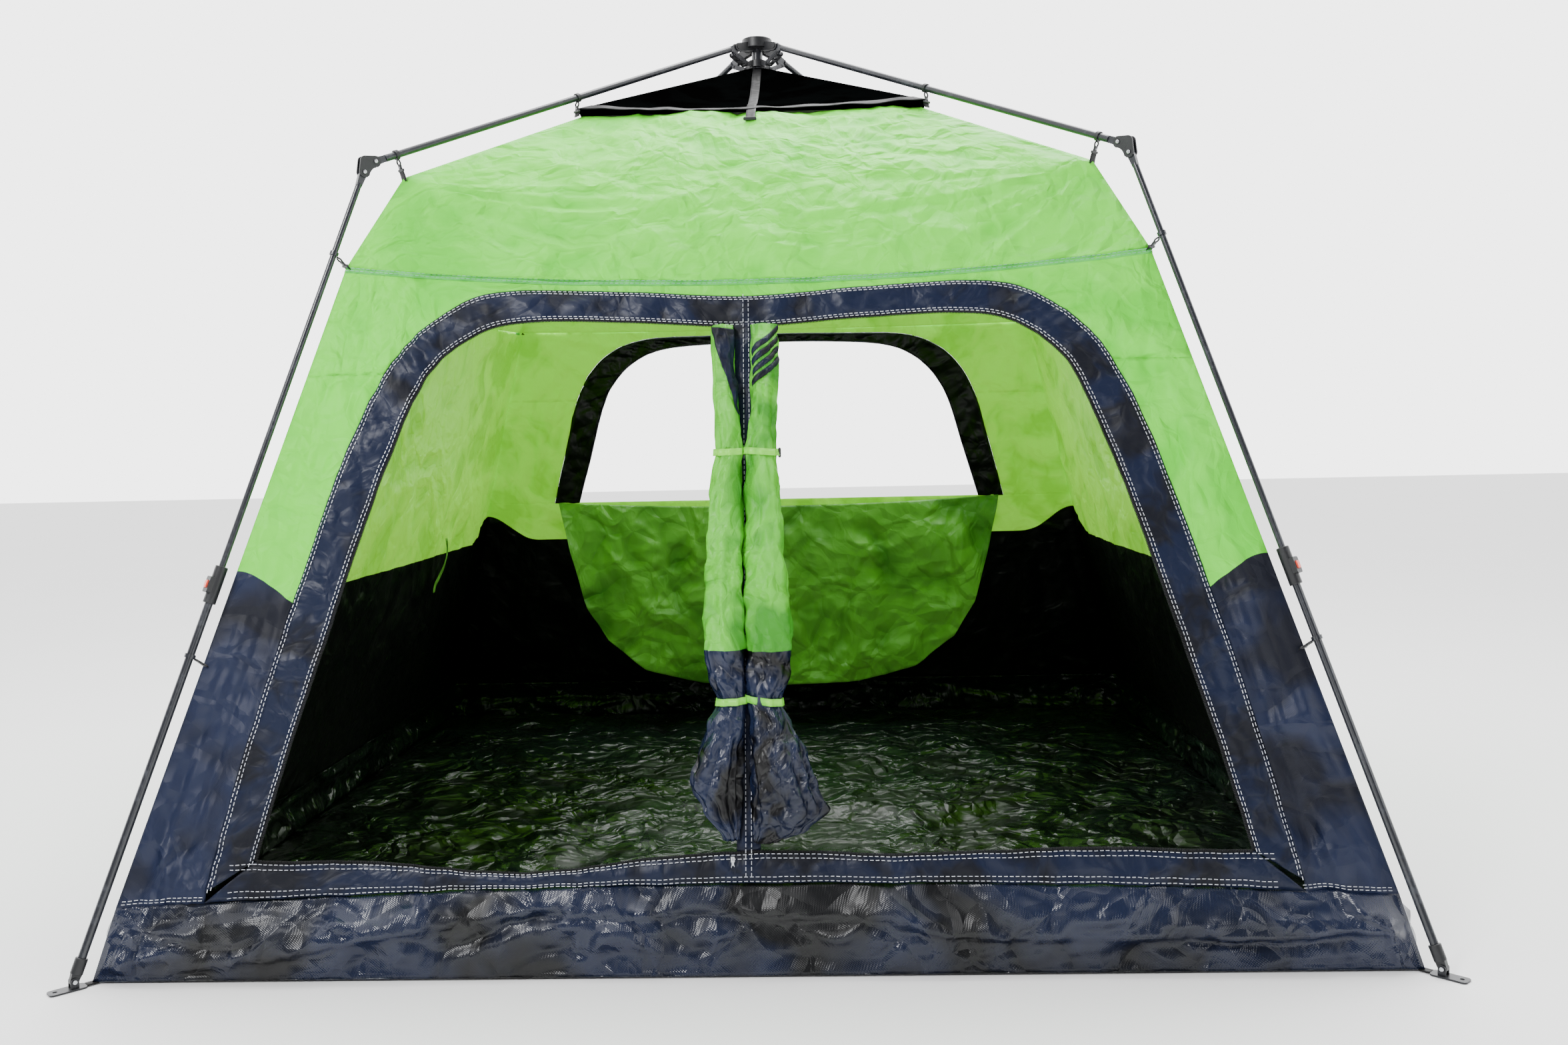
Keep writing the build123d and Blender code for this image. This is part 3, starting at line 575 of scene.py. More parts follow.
def hard_material(name, base, worn, rough, metallic=0.0, grain=0.0004, scale=80.0, coat=0.0):
    made, tree, shader = material(name)
    place = object_place(tree)
    scuff = use_group(tree, SCUFFS, Place=place, Scale=scale)
    tree.links.new(blend_colours(tree, scuff["Mask"], base, worn), shader.inputs["Base Color"])
    tree.links.new(stretch(tree, scuff["Mask"], 0, 1, rough, rough + 0.15), shader.inputs["Roughness"])
    bumped = add(tree, "Bump", strength=0.5, distance=grain, height=scuff["Height"])
    tree.links.new(bumped.outputs["Normal"], shader.inputs["Normal"])
    shader.inputs["Metallic"].default_value = metallic
    shader.inputs["Coat Weight"].default_value = coat
    return made


# Each cloth's first colour is its lit colour and its second its shaded colour; the painted shade mask blends
# them, as painted light and shade on the folds.
LIME = cloth_material("lime_taffeta", linear(110, 234, 58), linear(90, 216, 42), 0.50, bump=0.030,
                      specular=0.2)
# Inner faces of the walls and roof: a strong painted glow for the daylight inside the tent.
LIME_INSIDE = cloth_material("lime_taffeta_inside", linear(142, 212, 62), linear(118, 190, 40), 0.55,
                             bump=0.022, painted_glow=0.70, specular=0.15)
# Window flap and inner ribbons: darker than the outer lime cloth, as painted shade inside the tent, with a
# little painted glow.
LIME_FLAP = cloth_material("lime_flap", linear(106, 172, 62), linear(66, 128, 36), 0.36, facets=4.5,
                           bump=0.075, painted_glow=0.13, specular=0.5)
# Rolled door panels: a dark shaded colour for painted shade in the deep folds, and a faint painted glow.
LIME_ROLL = cloth_material("lime_rolled", linear(100, 200, 56), linear(56, 144, 32), 0.42, facets=9.0,
                           bump=0.034, painted_glow=0.02, specular=0.3)
LIME_SEAM = cloth_material("lime_seam", linear(84, 196, 84), linear(66, 174, 66), 0.5, facets=30.0, depth=0.3,
                           bump=0.003, specular=0.2)
NAVY = cloth_material("navy_taffeta", linear(24, 33, 60), linear(7, 11, 26), 0.44, facets=4.5, bump=0.034,
                      specular=0.30)
NAVY_BAND = cloth_material("navy_band", linear(21, 29, 52), linear(7, 10, 22), 0.46, facets=11.0, bump=0.008,
                           specular=0.25)
NAVY_GLOSS = cloth_material("navy_rolled", linear(28, 37, 62), linear(1, 1, 4), 0.28, facets=10.0, bump=0.024,
                            specular=0.40)
NAVY_INSIDE = cloth_material("navy_inside", linear(8, 9, 12), linear(4, 4, 6), 0.42, facets=9.0,
                             specular=0.25)
# Groundsheet: a blue-grey lit colour and a near-black shaded colour, painted highlights and painted shade on
# its folds.
SHEET_OUT = cloth_material("groundsheet", linear(26, 34, 58), linear(2, 3, 7), 0.28, facets=3.6, depth=1.6,
                           bump=0.046, threads=350.0, coat=0.06, specular=0.45)
SHEET_IN = cloth_material("groundsheet_inside", linear(24, 36, 32), linear(8, 15, 14), 0.26, facets=7.0,
                          depth=1.6, bump=0.034, threads=350.0, coat=0.15, specular=0.45)
CAP_CLOTH = cloth_material("cap_cloth", linear(4, 5, 5), linear(2, 2, 2), 0.85, facets=10.0, bump=0.004,
                           specular=0.0)
NETTING = cloth_material("vent_netting", linear(20, 22, 22), linear(8, 9, 9), 0.80, threads=1200.0)
WEBBING = cloth_material("black_webbing", linear(18, 18, 20), linear(8, 8, 9), 0.62, threads=900.0,
                         facets=30.0, depth=0.2, bump=0.004, specular=0.25)
TAPE = cloth_material("lime_tape", linear(130, 226, 60), linear(104, 206, 44), 0.50, threads=900.0,
                      facets=20.0, depth=0.3, bump=0.004)
THREAD = cloth_material("white_thread", linear(215, 218, 226), linear(180, 184, 196), 0.55, facets=40.0,
                        depth=0.1, bump=0.001)
PALE_THREAD = cloth_material("pale_thread", linear(120, 190, 150), linear(104, 176, 130), 0.55, facets=40.0,
                             depth=0.1, bump=0.001)
ZIP_TAPE = cloth_material("zip_tape", linear(12, 13, 18), linear(5, 5, 8), 0.5, threads=1000.0, facets=20.0,
                          depth=0.3, bump=0.003, specular=0.3)
TUBE = hard_material("black_coated_tube", linear(34, 36, 42), linear(58, 61, 68), 0.30, coat=0.35)
PLASTIC = hard_material("black_nylon", linear(26, 27, 30), linear(40, 42, 46), 0.42, scale=220.0)
BUTTON = hard_material("red_button_plastic", linear(240, 84, 60), linear(226, 70, 48), 0.30, scale=160.0,
                       coat=0.3)
STEEL = hard_material("bright_steel", linear(196, 198, 202), linear(150, 152, 156), 0.28, metallic=1.0,
                      scale=150.0)
FOOT_STEEL = hard_material("coated_foot_steel", linear(38, 39, 43), linear(96, 97, 100), 0.40, metallic=0.3)


# ---------------------------------------------------------------- the cloth body
WALL_CLOTH = (LIME, NAVY, LIME_INSIDE, NAVY_INSIDE)
STUB_Z = 1.27               # the wall's side panels reach up to here, and its head lies above


def share_at(path, height):
    """Place along an arch's curve where its left side reaches height."""
    low, high = 0.0, 0.5
    for _ in range(30):
        middle = (low + high) / 2
        if spline(path, middle)[1] < height:
            low = middle
        else:
            high = middle
    return low


def side_panel(side, outer, foot_z, way, name):
    """The wall between one corner of the tent and the arch."""
    def point(a, b):
        q = mix(1.0, edge_at(outer, SPLIT_Z) / wall_half(SPLIT_Z), a)
        if foot_z is not None:
            z = mix(foot_z, STUB_Z, b)
        elif b < 0.5:
            z = mix(seam_z(side, q), split_z(q), 2 * b)
        else:
            z = mix(split_z(q), STUB_Z, 2 * b - 1)
        return wall_point(side, way * mix(wall_half(z), edge_at(outer, z), a), z)

    def shade(a, b):
        return 1 if foot_z is None and b < 0.5 else 0

    return patch(name, 40, 110, point, WALL_CLOTH, shade)


def head_panel(side, outer, name):
    """The wall above the arch, up to the eave seam."""
    path = whole_arch(outer)
    corner, start = edge_at(outer, STUB_Z), share_at(path, STUB_Z)

    def point(a, b):
        if a < 0.1:
            u, z = mix(-wall_half(STUB_Z), -corner, a / 0.1), STUB_Z
        elif a > 0.9:
            u, z = mix(corner, wall_half(STUB_Z), (a - 0.9) / 0.1), STUB_Z
        else:
            u, z = spline(path, mix(start, 1 - start, (a - 0.1) / 0.8))
        q = mix(-1, 1, mix(a, smooth(a), 0.25))
        top = eave_z(side, q)
        z = mix(z, top, b)
        return wall_point(side, mix(u, q * wall_half(top), b), z)

    return patch(name, 170, 20, point, WALL_CLOTH)


def arch_band(side, outer, inner, name, materials):
    """The navy band along an arch, gathered where it bends."""
    out_path, in_path = whole_arch(outer), whole_arch(inner)

    def point(a, b):
        (x0, z0), (x1, z1) = spline(out_path, a), spline(in_path, a)
        u, z = mix(x0, x1, b), mix(z0, z1, b)
        middle = math.sin(math.pi * b)
        gather = 0.0045 * wave(a * 100 + 3 * b, b * 1.5, 3.0 + side) * middle
        gather += 0.0035 * crumple((u * 1.4, z, 0), 0.075, 13.0 + side) * middle
        if abs(u) < 0.25:
            droop = smooth((0.25 - abs(u)) / 0.2)
            gather += 0.006 * wave(a * 220 + 20 * b, 1.0, 5.0) * droop * middle
        return wall_point(side, u, z, 0.0020 + 0.004 * middle ** 0.5 + gather)

    return patch(name, 520, 9, point, materials)


def front_wall():
    panels = [side_panel(FRONT, DOOR_OUTER, None, way, "front_side") for way in (-1, 1)]
    panels.append(head_panel(FRONT, DOOR_OUTER, "front_head"))
    wall = thicken(weld(join("front_wall_cloth", *panels)), inner_offset=2)
    settle(wall, ["front_wall"])

    band = arch_band(FRONT, DOOR_OUTER, DOOR_INNER, "door_arch_band", (NAVY_BAND, NAVY_INSIDE))
    settle(thicken(band, BAND, 1))

    def sill(a, b):
        foot, head = DOOR_OUTER[0][0], DOOR_INNER[0][0]
        u = mix(mix(foot, -foot, a), mix(head, -head, a), b)
        z = mix(seam_z(FRONT, u / SEAM_HALF) + 0.001, sill_z(u), b)
        pucker = 0.005 * wave(u * 22, b * 1.2, 8.0) * math.sin(math.pi * b)
        pucker += 0.003 * crumple((u, z, 0), 0.06, 21.0) * math.sin(math.pi * b)
        return wall_point(FRONT, u, z, 0.004 + 0.006 * math.sin(math.pi * b) + pucker)

    sill_band = patch("door_sill_band", 300, 8, sill, (NAVY_BAND, NAVY_INSIDE))
    settle(thicken(sill_band, BAND, 1))

    def post(a, b):
        z = mix(sill_z(0), 1.372, b)
        width = 0.013 + 0.018 * smooth((z - 1.05) / 0.25) + 0.012 * smooth((0.45 - z) / 0.15)
        fold = 0.002 * wave(a * 4, z * 9, 4.0)
        return wall_point(FRONT, mix(-width, width, a), z, 0.004 + fold + 0.003 * math.sin(math.pi * a))

    door_post = patch("door_post_strip", 8, 160, post, (NAVY_BAND, NAVY_INSIDE))
    settle(thicken(door_post, BAND, 1))


def rear_wall():
    foot = WINDOW_OUTER[0][1]
    panels = [side_panel(REAR, WINDOW_OUTER, foot, way, "rear_side") for way in (-1, 1)]
    panels.append(head_panel(REAR, WINDOW_OUTER, "rear_head"))

    def below(a, b):
        q = mix(-1, 1, a)
        low, change = seam_z(REAR, q), split_z(q)
        z = mix(low, change, b / 0.8) if b < 0.8 else mix(change, foot, (b - 0.8) / 0.2)
        return wall_point(REAR, q * wall_half(z), z)

    panels.append(patch("rear_low", 190, 70, below, WALL_CLOTH, lambda a, b: 1 if b < 0.8 else 0))
    wall = thicken(weld(join("rear_wall_cloth", *panels)), inner_offset=2)
    settle(wall, ["rear_wall"])

    band = arch_band(REAR, WINDOW_OUTER, WINDOW_INNER, "window_arch_band", (NAVY_BAND, NAVY_INSIDE))
    settle(thicken(band, WINDOW_BAND, 1))


def window_flap():
    """The window's cover, unzipped and hanging from its sill inside the tent."""
    edge = [(0.84, 0), (0.80, 0.19), (0.745, 0.40), (0.665, 0.53), (0.52, 0.645), (0.30, 0.70), (0, 0.712)]

    def depth(x):
        for (x0, d0), (x1, d1) in zip(edge, edge[1:]):
            if abs(x) >= x1:
                return mix(d0, d1, (x0 - abs(x)) / (x0 - x1))
        return edge[-1][1]

    half = edge[0][0]

    def point(a, b):
        x = half * (2 * a - 1)
        sag = 0.026 * (1 - (x / half) ** 2)
        z = WINDOW_OUTER[0][1] - sag - b * max(depth(x) - sag, 0.002)
        loose = smooth(b / 0.15)
        out = wall_half(WINDOW_OUTER[0][1]) - 0.030 - 0.018 * (1 - (x / half) ** 2)
        out += loose * (0.016 * wave(x * 3.2, z * 2.4, 61.0) + 0.013 * crumple((x, z, 0), 0.20, 62.0)
                        + 0.006 * crumple((x, z, 0), 0.085, 64.0))
        return Vector((x, out - 0.02 * b, z))

    flap = patch("window_flap_cloth", 170, 90, point, (LIME_FLAP,))
    settle(thicken(flap), ["rear_flap"])


def side_walls():
    for side, name in ((LEFT, "left_wall"), (RIGHT, "right_wall")):
        def point(a, b, side=side):
            q = mix(-1, 1, a)
            low, change, top = seam_z(side, q), split_z(q), eave_z(side, q)
            z = mix(low, change, b / 0.45) if b < 0.45 else mix(change, top, (b - 0.45) / 0.55)
            return wall_point(side, q * wall_half(z), z)

        wall = patch(name + "_cloth", 220, 120, point, WALL_CLOTH, lambda a, b: 1 if b < 0.45 else 0)
        settle(thicken(wall, inner_offset=2), [name])


def roof():
    def point(side, a, b):
        return roof_point(side, mix(-1, 1, a), b)

    sides = round_tent("roof_side", 150, 72, point, (LIME, LIME_INSIDE))
    whole = thicken(weld(join("roof_cloth", *sides)), inner_offset=1)
    settle(whole, ["roof"])


def vent():
    def net(side, a, b):
        half = mix(VENT_HALF, 0.03, b)
        z = mix(VENT_Z, VENT_Z + 0.135, b) - 0.012 * math.sin(math.pi * b)
        return turned(side, mix(-1, 1, a) * half, half, z)

    netting = thicken(weld(join("vent_net_cloth", *round_tent("net_side", 36, 14, net, (NETTING,)))), 0.0008)
    settle(netting, ["vent_mesh"])

    def slope(side, a, b):
        return cap_point(side, mix(-1, 1, a), b)

    cap = thicken(weld(join("vent_cap_cloth", *round_tent("cap_side", 90, 40, slope, (CAP_CLOTH,)))), 0.0014)
    settle(cap, ["vent_cap"])

    def hem(side, a, b):
        return cap_point(side, mix(-1, 1, a), 0.075 * b, 0.0016)

    cap_hem = thicken(weld(join("vent_cap_hem", *round_tent("cap_hem_side", 90, 4, hem, (WEBBING,)))))
    settle(cap_hem)

    def strap(a, b):
        down = smooth((b - 0.93) / 0.07)
        u = CAP_STRAP_W * (a - 0.5)
        on_cap = cap_point(FRONT, u / CAP_HALF, 0.97 - b * 0.97 if b < 0.93 else 0.068, 0.004)
        on_roof = roof_point(FRONT, u / 0.5, 0.88, 0.004)
        return Vector((u, mix(on_cap.y, on_roof.y, down), mix(on_cap.z, on_roof.z, down)))

    belt = patch("cap_front_strap", 4, 60, strap, (WEBBING,))
    settle(thicken(belt, WEBBING_THICK))


def groundsheet():
    def low_wall(side, a, b):
        return tub_point(side, mix(-1, 1, a), b)

    def base(a, b):
        x, y = mix(-FLOOR_HALF, FLOOR_HALF, a), mix(-FLOOR_HALF, FLOOR_HALF, b)
        return Vector((x, y, floor_z(x, y)))

    pieces = round_tent("tub_side", 240, 22, low_wall, (SHEET_OUT, SHEET_IN), (0, 0, 0.05))
    pieces.append(patch("groundsheet_floor", 150, 150, base, (SHEET_OUT, SHEET_IN), outward=(0, 0, 5)))
    whole = thicken(weld(join("groundsheet_tub", *pieces), 0.002), inner_offset=1)
    settle(whole, ["floor_tub"])


# ---------------------------------------------------------------- rolled door panels
# height, left edge and right edge of each roll, and how deep it is
LEFT_ROLL = [(1.366, -0.076, -0.030, 0.018), (1.30, -0.078, -0.030, 0.026), (1.20, -0.075, -0.020, 0.030),
             (1.12, -0.072, -0.012, 0.028), (1.078, -0.068, -0.008, 0.024), (1.03, -0.078, -0.010, 0.033),
             (0.90, -0.086, -0.008, 0.040), (0.76, -0.090, -0.006, 0.042), (0.654, -0.092, -0.004, 0.042),
             (0.60, -0.084, -0.004, 0.036), (0.548, -0.062, -0.004, 0.026), (0.50, -0.082, -0.004, 0.038),
             (0.44, -0.104, -0.010, 0.044), (0.378, -0.120, -0.020, 0.038), (0.33, -0.092, -0.022, 0.028),
             (0.268, -0.052, -0.020, 0.012)]
RIGHT_ROLL = [(1.366, 0.010, 0.068, 0.022), (1.30, 0.012, 0.072, 0.030), (1.20, 0.012, 0.070, 0.032),
              (1.12, 0.006, 0.068, 0.028), (1.078, -0.002, 0.066, 0.024), (1.03, 0.000, 0.072, 0.034),
              (0.90, -0.002, 0.081, 0.042), (0.76, -0.004, 0.090, 0.044), (0.654, -0.002, 0.097, 0.044),
              (0.60, -0.002, 0.089, 0.038), (0.548, 0.000, 0.070, 0.026), (0.50, 0.002, 0.090, 0.040),
              (0.44, 0.006, 0.116, 0.048), (0.378, 0.012, 0.140, 0.044), (0.325, 0.016, 0.158, 0.032),
              (0.285, 0.012, 0.120, 0.020), (0.262, 0.012, 0.060, 0.012)]
TIES_Z = (1.078, 0.548)
ROLL_CHANGE_Z = 0.654       # green above, navy below
LEFT_SEED, RIGHT_SEED = 31.0, 37.0


def roll_size(profile, z):
    for (z0, *high), (z1, *low) in zip(profile, profile[1:]):
        if z >= z1:
            return [mix(a, b, smooth((z0 - z) / (z0 - z1))) for a, b in zip(high, low)]
    return profile[-1][1:]


def roll_point(profile, angle, z, seed, lift=0.0):
    left, right, depth = roll_size(profile, z)
    half, middle = (right - left) / 2, (right + left) / 2
    pinch = sum(math.exp(-(((z - tie) / 0.035) ** 2)) for tie in TIES_Z)
    skirt = smooth((0.50 - z) / 0.10)
    round_x, round_y = math.sin(angle), -math.cos(angle)
    place = (round_x * 0.05, round_y * 0.05, z)
    grow = 1 + 0.17 * crumple((place[0] * 1.6, place[1] * 1.6, z * 0.8), 0.080, seed) * (1 - 0.7 * pinch)
    grow += 0.08 * crumple((place[0], place[1], z * 0.6), 0.032, seed + 4)
    grow += (0.09 * pinch + 0.17 * skirt) * math.sin(9 * angle + 4 * wave(z * 3, angle, seed))
    grow += 0.08 * math.cos(3 * angle + z * 6 + seed) * (1 - 0.6 * pinch)
    x = middle + round_x * half * mix(1, grow, 0.8) + round_x * lift
    y = -wall_half(z) - 0.004 + round_y * (depth * grow + lift)
    return Vector((x, y, z))


def roll(profile, name, seed):
    rows, around = 190, 60
    points, faces, marks = [], [], []
    top, low = profile[0][0], profile[-1][0]
    for j in range(rows + 1):
        z = mix(top, low, j / rows)
        for i in range(around):
            points.append(roll_point(profile, math.tau * i / around, z, seed))
    for j in range(rows):
        z = mix(top, low, (j + 0.5) / rows)
        for i in range(around):
            k, n = j * around + i, j * around + (i + 1) % around
            faces.append((k, k + around, n + around, n))
            marks.append(1 if z < ROLL_CHANGE_Z else 0)
    for j in (0, rows):
        ring = [j * around + i for i in range(around)]
        middle = sum((points[k] for k in ring), Vector()) / around
        points.append(middle + Vector((0, 0, 0.004 if j == 0 else 0.010)))
        for i in range(around):
            pair = (ring[i], ring[(i + 1) % around])
            faces.append((*pair, len(points) - 1) if j == 0 else (pair[1], pair[0], len(points) - 1))
            marks.append(0 if j == 0 else 1)
    return make_mesh(name, points, faces, None, marks, (LIME_ROLL, NAVY_GLOSS))


def tie(profile, z, name, tilt):
    """A ribbon once round a roll."""
    points, faces = [], []
    around = 64
    for i in range(around):
        angle = math.tau * i / around
        for up in (-0.0075, 0.0075):
            here = roll_point(profile, angle, z + up + tilt * math.sin(angle), 0.0, 0.0045)
            here.y -= 0.001 * math.sin(5 * angle)
            points.append(here)
    for i in range(around):
        k, n = 2 * i, (2 * i + 2) % (2 * around)
        faces.append((k, k + 1, n + 1, n))
    ribbon = make_mesh(name, points, faces, None, None, (TAPE,))
    centre = sum(points, Vector()) / len(points)
    face_outward(ribbon, centre)
    ribbon.modifiers.new("even", "SUBSURF").levels = 1
    apply_modifiers(ribbon)
    settle(thicken(ribbon, 0.0014), ["door_ties"])


def door_rolls():
    for profile, name, seed in ((LEFT_ROLL, "rolled_door_left", LEFT_SEED),
                                (RIGHT_ROLL, "rolled_door_right", RIGHT_SEED)):
        piece = roll(profile, name, seed)
        settle(piece, ["door_rolls"])
    tie(LEFT_ROLL, TIES_Z[0], "tie_left_high", 0.001)
    tie(RIGHT_ROLL, TIES_Z[0], "tie_right_high", -0.003)
    tie(LEFT_ROLL, TIES_Z[1], "tie_left_low", 0.002)
    tie(RIGHT_ROLL, TIES_Z[1], "tie_right_low", -0.005)


def zip_folds():
    """The navy edge and zip tape that show where the panels are folded over at the top."""
    def left_edge(a, b):
        z = mix(1.362, 1.165, b)
        angle = mix(mix(-1.25, 1.15, b ** 0.8), 1.5, a)
        return roll_point(LEFT_ROLL, angle, z - 0.006 * a, LEFT_SEED, 0.0022)

    edge = patch("edge_fold", 14, 60, left_edge, (NAVY_BAND,), outward=(0, 0, 1.3))
    settle(thicken(edge))

    strips = []
    for k in range(4):
        def band(a, b, k=k):
            angle = mix(1.35, -1.05, a)
            z = 1.356 - 0.024 * k - 0.055 * a + mix(0.008, -0.008, b)
            return roll_point(RIGHT_ROLL, angle, z, RIGHT_SEED, 0.0016 + 0.0022 * math.sin(math.pi * b))
        strips.append(patch("fold", 30, 5, band, (NAVY_BAND,), outward=(0, 0, 1.3)))
    folds = thicken(join("zip_folds", *strips))
    settle(folds)


# ---------------------------------------------------------------- seams and stitches
def dashes(points, way_out, length=0.0075, gap=0.0045, width=0.0014, height=0.0009):
    """Corners and faces of one row of stitches that follows points."""
    made_points, made_faces = [], []
    run, next_at = 0.0, 0.0
    for i in range(len(points) - 1):
        a, b = points[i], points[i + 1]
        step = (b - a).length
        while step > 1e-6 and next_at <= run + step:
            centre = a.lerp(b, (next_at - run) / step)
            along = (b - a).normalized() * (length / 2)
            up = way_out[i].normalized()
            across = along.cross(up).normalized() * (width / 2)
            k = len(made_points)
            for lift in (0, up * height):
                for x, y in ((-1, -1), (1, -1), (1, 1), (-1, 1)):
                    made_points.append(centre + along * x + across * y + (lift if lift else Vector()))
            made_faces += [(k + 3, k + 2, k + 1, k), (k + 4, k + 5, k + 6, k + 7), (k, k + 1, k + 5, k + 4),
                           (k + 1, k + 2, k + 6, k + 5), (k + 2, k + 3, k + 7, k + 6),
                           (k + 3, k, k + 4, k + 7)]
            next_at += length + gap
        run += step
    return made_points, made_faces


def rows_piece(name, rows, finish):
    """One piece made of many rows of short bars; a row is (corners, faces)."""
    points, faces = [], []
    for more, new in rows:
        faces += [tuple(k + len(points) for k in face) for face in new]
        points += more
    return make_mesh(name, points, faces, None, None, (finish,))


def stitching(name, rows, thread):
    """Many rows of stitches; a row is (points, outward directions)."""
    piece = rows_piece(name, [dashes(row, ways) for row, ways in rows], thread)
    for polygon in piece.data.polygons:
        polygon.use_smooth = False
    settle(piece)


def on_wall(side, path, lift, steps):
    """A row of points on a wall; path(s) gives its place across and up for s from 0 to 1."""
    slope = (SEAM_HALF - EAVE_HALF) / (EAVE_Z - SEAM_Z)
    out = turned(side, 0, 1, 0) + Vector((0, 0, slope))
    row = [wall_point(side, *path(i / steps), lift) for i in range(steps + 1)]
    return row, [out] * len(row)


def between(outer, inner, share):
    """A curve at a share of the way across an arch's band."""
    out_path, in_path = whole_arch(outer), whole_arch(inner)

    def path(s):
        a, b = spline(out_path, s), spline(in_path, s)
        return mix(a[0], b[0], share), mix(a[1], b[1], share)
    return path


def seams():
    white, pale = [], []
    for share in (0.05, 0.12, 0.86, 0.93):
        white.append(on_wall(FRONT, between(DOOR_OUTER, DOOR_INNER, share), 0.0062, 900))
    for share in (0.10, 0.90):
        white.append(on_wall(REAR, between(WINDOW_OUTER, WINDOW_INNER, share), 0.0062, 500))
    for up in (0.10, 0.24, 0.80, 0.93):
        def sill_row(s, up=up):
            u = mix(-1.09, 1.09, s)
            return u, mix(seam_z(FRONT, u / SEAM_HALF), sill_z(u), up)
        white.append(on_wall(FRONT, sill_row, 0.0105, 600))
    for x in (-0.006, 0.006):
        white.append(on_wall(FRONT, lambda s, x=x: (x, mix(0.2, 1.436, s)), 0.0102, 300))
    for rise in (0.006, 0.012):
        for side in range(4):
            spans = ((-0.99, -0.86), (0.86, 0.99)) if side == FRONT else ((-0.99, 0.99),)
            for low, high in spans:
                def tub_row(s, side=side, rise=rise, low=low, high=high):
                    q = mix(low, high, s)
                    z = seam_z(side, q) + rise
                    return q * wall_half(z), z
                white.append(on_wall(side, tub_row, 0.0012, 300))
    stitching("white_stitching", white, THREAD)

    for side in range(4):
        for drop in (-0.006, 0.007):
            def eave_row(s, side=side, drop=drop):
                q = mix(-0.995, 0.995, s)
                z = eave_z(side, q) - abs(drop) if drop > 0 else eave_z(side, q) - 0.001
                return q * wall_half(z), z
            pale.append(on_wall(side, eave_row, 0.0022, 400))

    def split_row(s):
        q = mix(-0.99, 0.99, s)
        z = split_z(q) + 0.008
        return q * wall_half(z), z

    for side in (LEFT, RIGHT, REAR):
        pale.append(on_wall(side, split_row, 0.0012, 400))
    stitching("pale_stitching", pale, PALE_THREAD)

    def tape(side, a, b):
        q = mix(-0.998, 0.998, a)
        z = eave_z(side, q) - mix(0.012, -0.0005, b)
        return wall_point(side, q * wall_half(z), z, 0.0016)

    eave = thicken(join("eave_seam_tape", *round_tent("eave_tape", 220, 2, tape, (LIME_SEAM,))), 0.0010)
    settle(eave)


def door_zip():
    """The zip's dark coil along the inner edge of the doorway, on both sides of the post."""
    def along_sill(s):
        u = mix(-1.04, 1.04, s)
        return u, sill_z(u) - 0.002

    rows = []
    for path, steps, lift in ((between(DOOR_OUTER, DOOR_INNER, 0.985), 900, 0.0022),
                              (along_sill, 600, 0.0045)):
        row, ways = on_wall(FRONT, path, lift, steps)
        rows.append(dashes(row, ways, 0.0022, 0.0012, 0.0075, 0.0028))
    settle(rows_piece("door_zip_coil", rows, ZIP_TAPE))


# ---------------------------------------------------------------- frame fittings
# radius and height of the pins in each corner's plane
HUB_PIVOT, KNUCKLE, KNEE, FOOT = (0.080, 2.256), (1.237, 1.778), (1.266, 1.750), (1.973, 0.016)
CAP_RING_AT, ROOF_RING_AT = 0.617, 1.190    # along the rafter from the hub
EAVE_RING_AT, WALL_RING_AT = 0.212, 0.695   # below the knee, and above the foot
RIVET_REACH = 0.0101        # from the middle of a knuckle to the outside of its rivet heads
FOOT_REACH = 0.0111
HOOK_CLEAR = 0.0145         # from the middle of the pole to the hook
HOOK_REACH = 0.0215         # from there to the webbing
WALL_HOOK_DROP = 0.022      # the low strap is sewn this far below its ring
STRAP_W = 0.020


def step_along(start, end, distance):
    length = math.hypot(end[0] - start[0], end[1] - start[1])
    return (mix(start[0], end[0], distance / length), mix(start[1], end[1], distance / length))


def radial(angle, r, z, off=0.0):
    """The point at radius r and height z in a corner's plane, off to its side."""
    turn = math.radians(angle)
    return Vector((r * math.cos(turn) - off * math.sin(turn), r * math.sin(turn) + off * math.cos(turn), z))


def copy_at(shape, name, matrix):
    mesh = shape.data.copy()
    mesh.transform(matrix)
    piece = bpy.data.objects.new(name, mesh)
    bpy.context.scene.collection.objects.link(piece)
    return piece


def edit_bevel(width, segments):
    bpy.ops.object.mode_set(mode="EDIT")
    bpy.ops.mesh.select_all(action="SELECT")
    bpy.ops.mesh.bevel(offset=width, segments=segments, affect="EDGES")
    bpy.ops.mesh.normals_make_consistent(inside=False)
    bpy.ops.object.mode_set(mode="OBJECT")


def bevelled_box(name, size, width, finish, at=(0, 0, 0)):
    bpy.ops.object.select_all(action="DESELECT")
    bpy.ops.mesh.primitive_cube_add(size=1)
    box = bpy.context.active_object
    box.name = name
    box.data.transform(Matrix.Translation(at) @ Matrix.Diagonal((*size, 1)))
    edit_bevel(width, 2)
    box.data.materials.append(finish)
    return box


def rivet_cap(name, radius, height, finish):
    bpy.ops.object.select_all(action="DESELECT")
    bpy.ops.mesh.primitive_cylinder_add(radius=radius, depth=height, vertices=28)
    cap = bpy.context.active_object
    cap.name = name
    edit_bevel(height * 0.45, 3)
    bpy.ops.object.shade_smooth_by_angle(angle=math.radians(40))
    cap.data.materials.append(finish)
    return cap


def loop_of_wire(name, half_across, half_up, wire, finish):
    bpy.ops.object.select_all(action="DESELECT")
    bpy.ops.mesh.primitive_torus_add(major_radius=half_across, minor_radius=wire, major_segments=36,
                                     minor_segments=10)
    loop = bpy.context.active_object
    loop.name = name
    loop.data.transform(Matrix.Diagonal((1, half_up / half_across, 1, 1)))
    bpy.ops.object.shade_smooth()
    loop.data.materials.append(finish)
    return loop


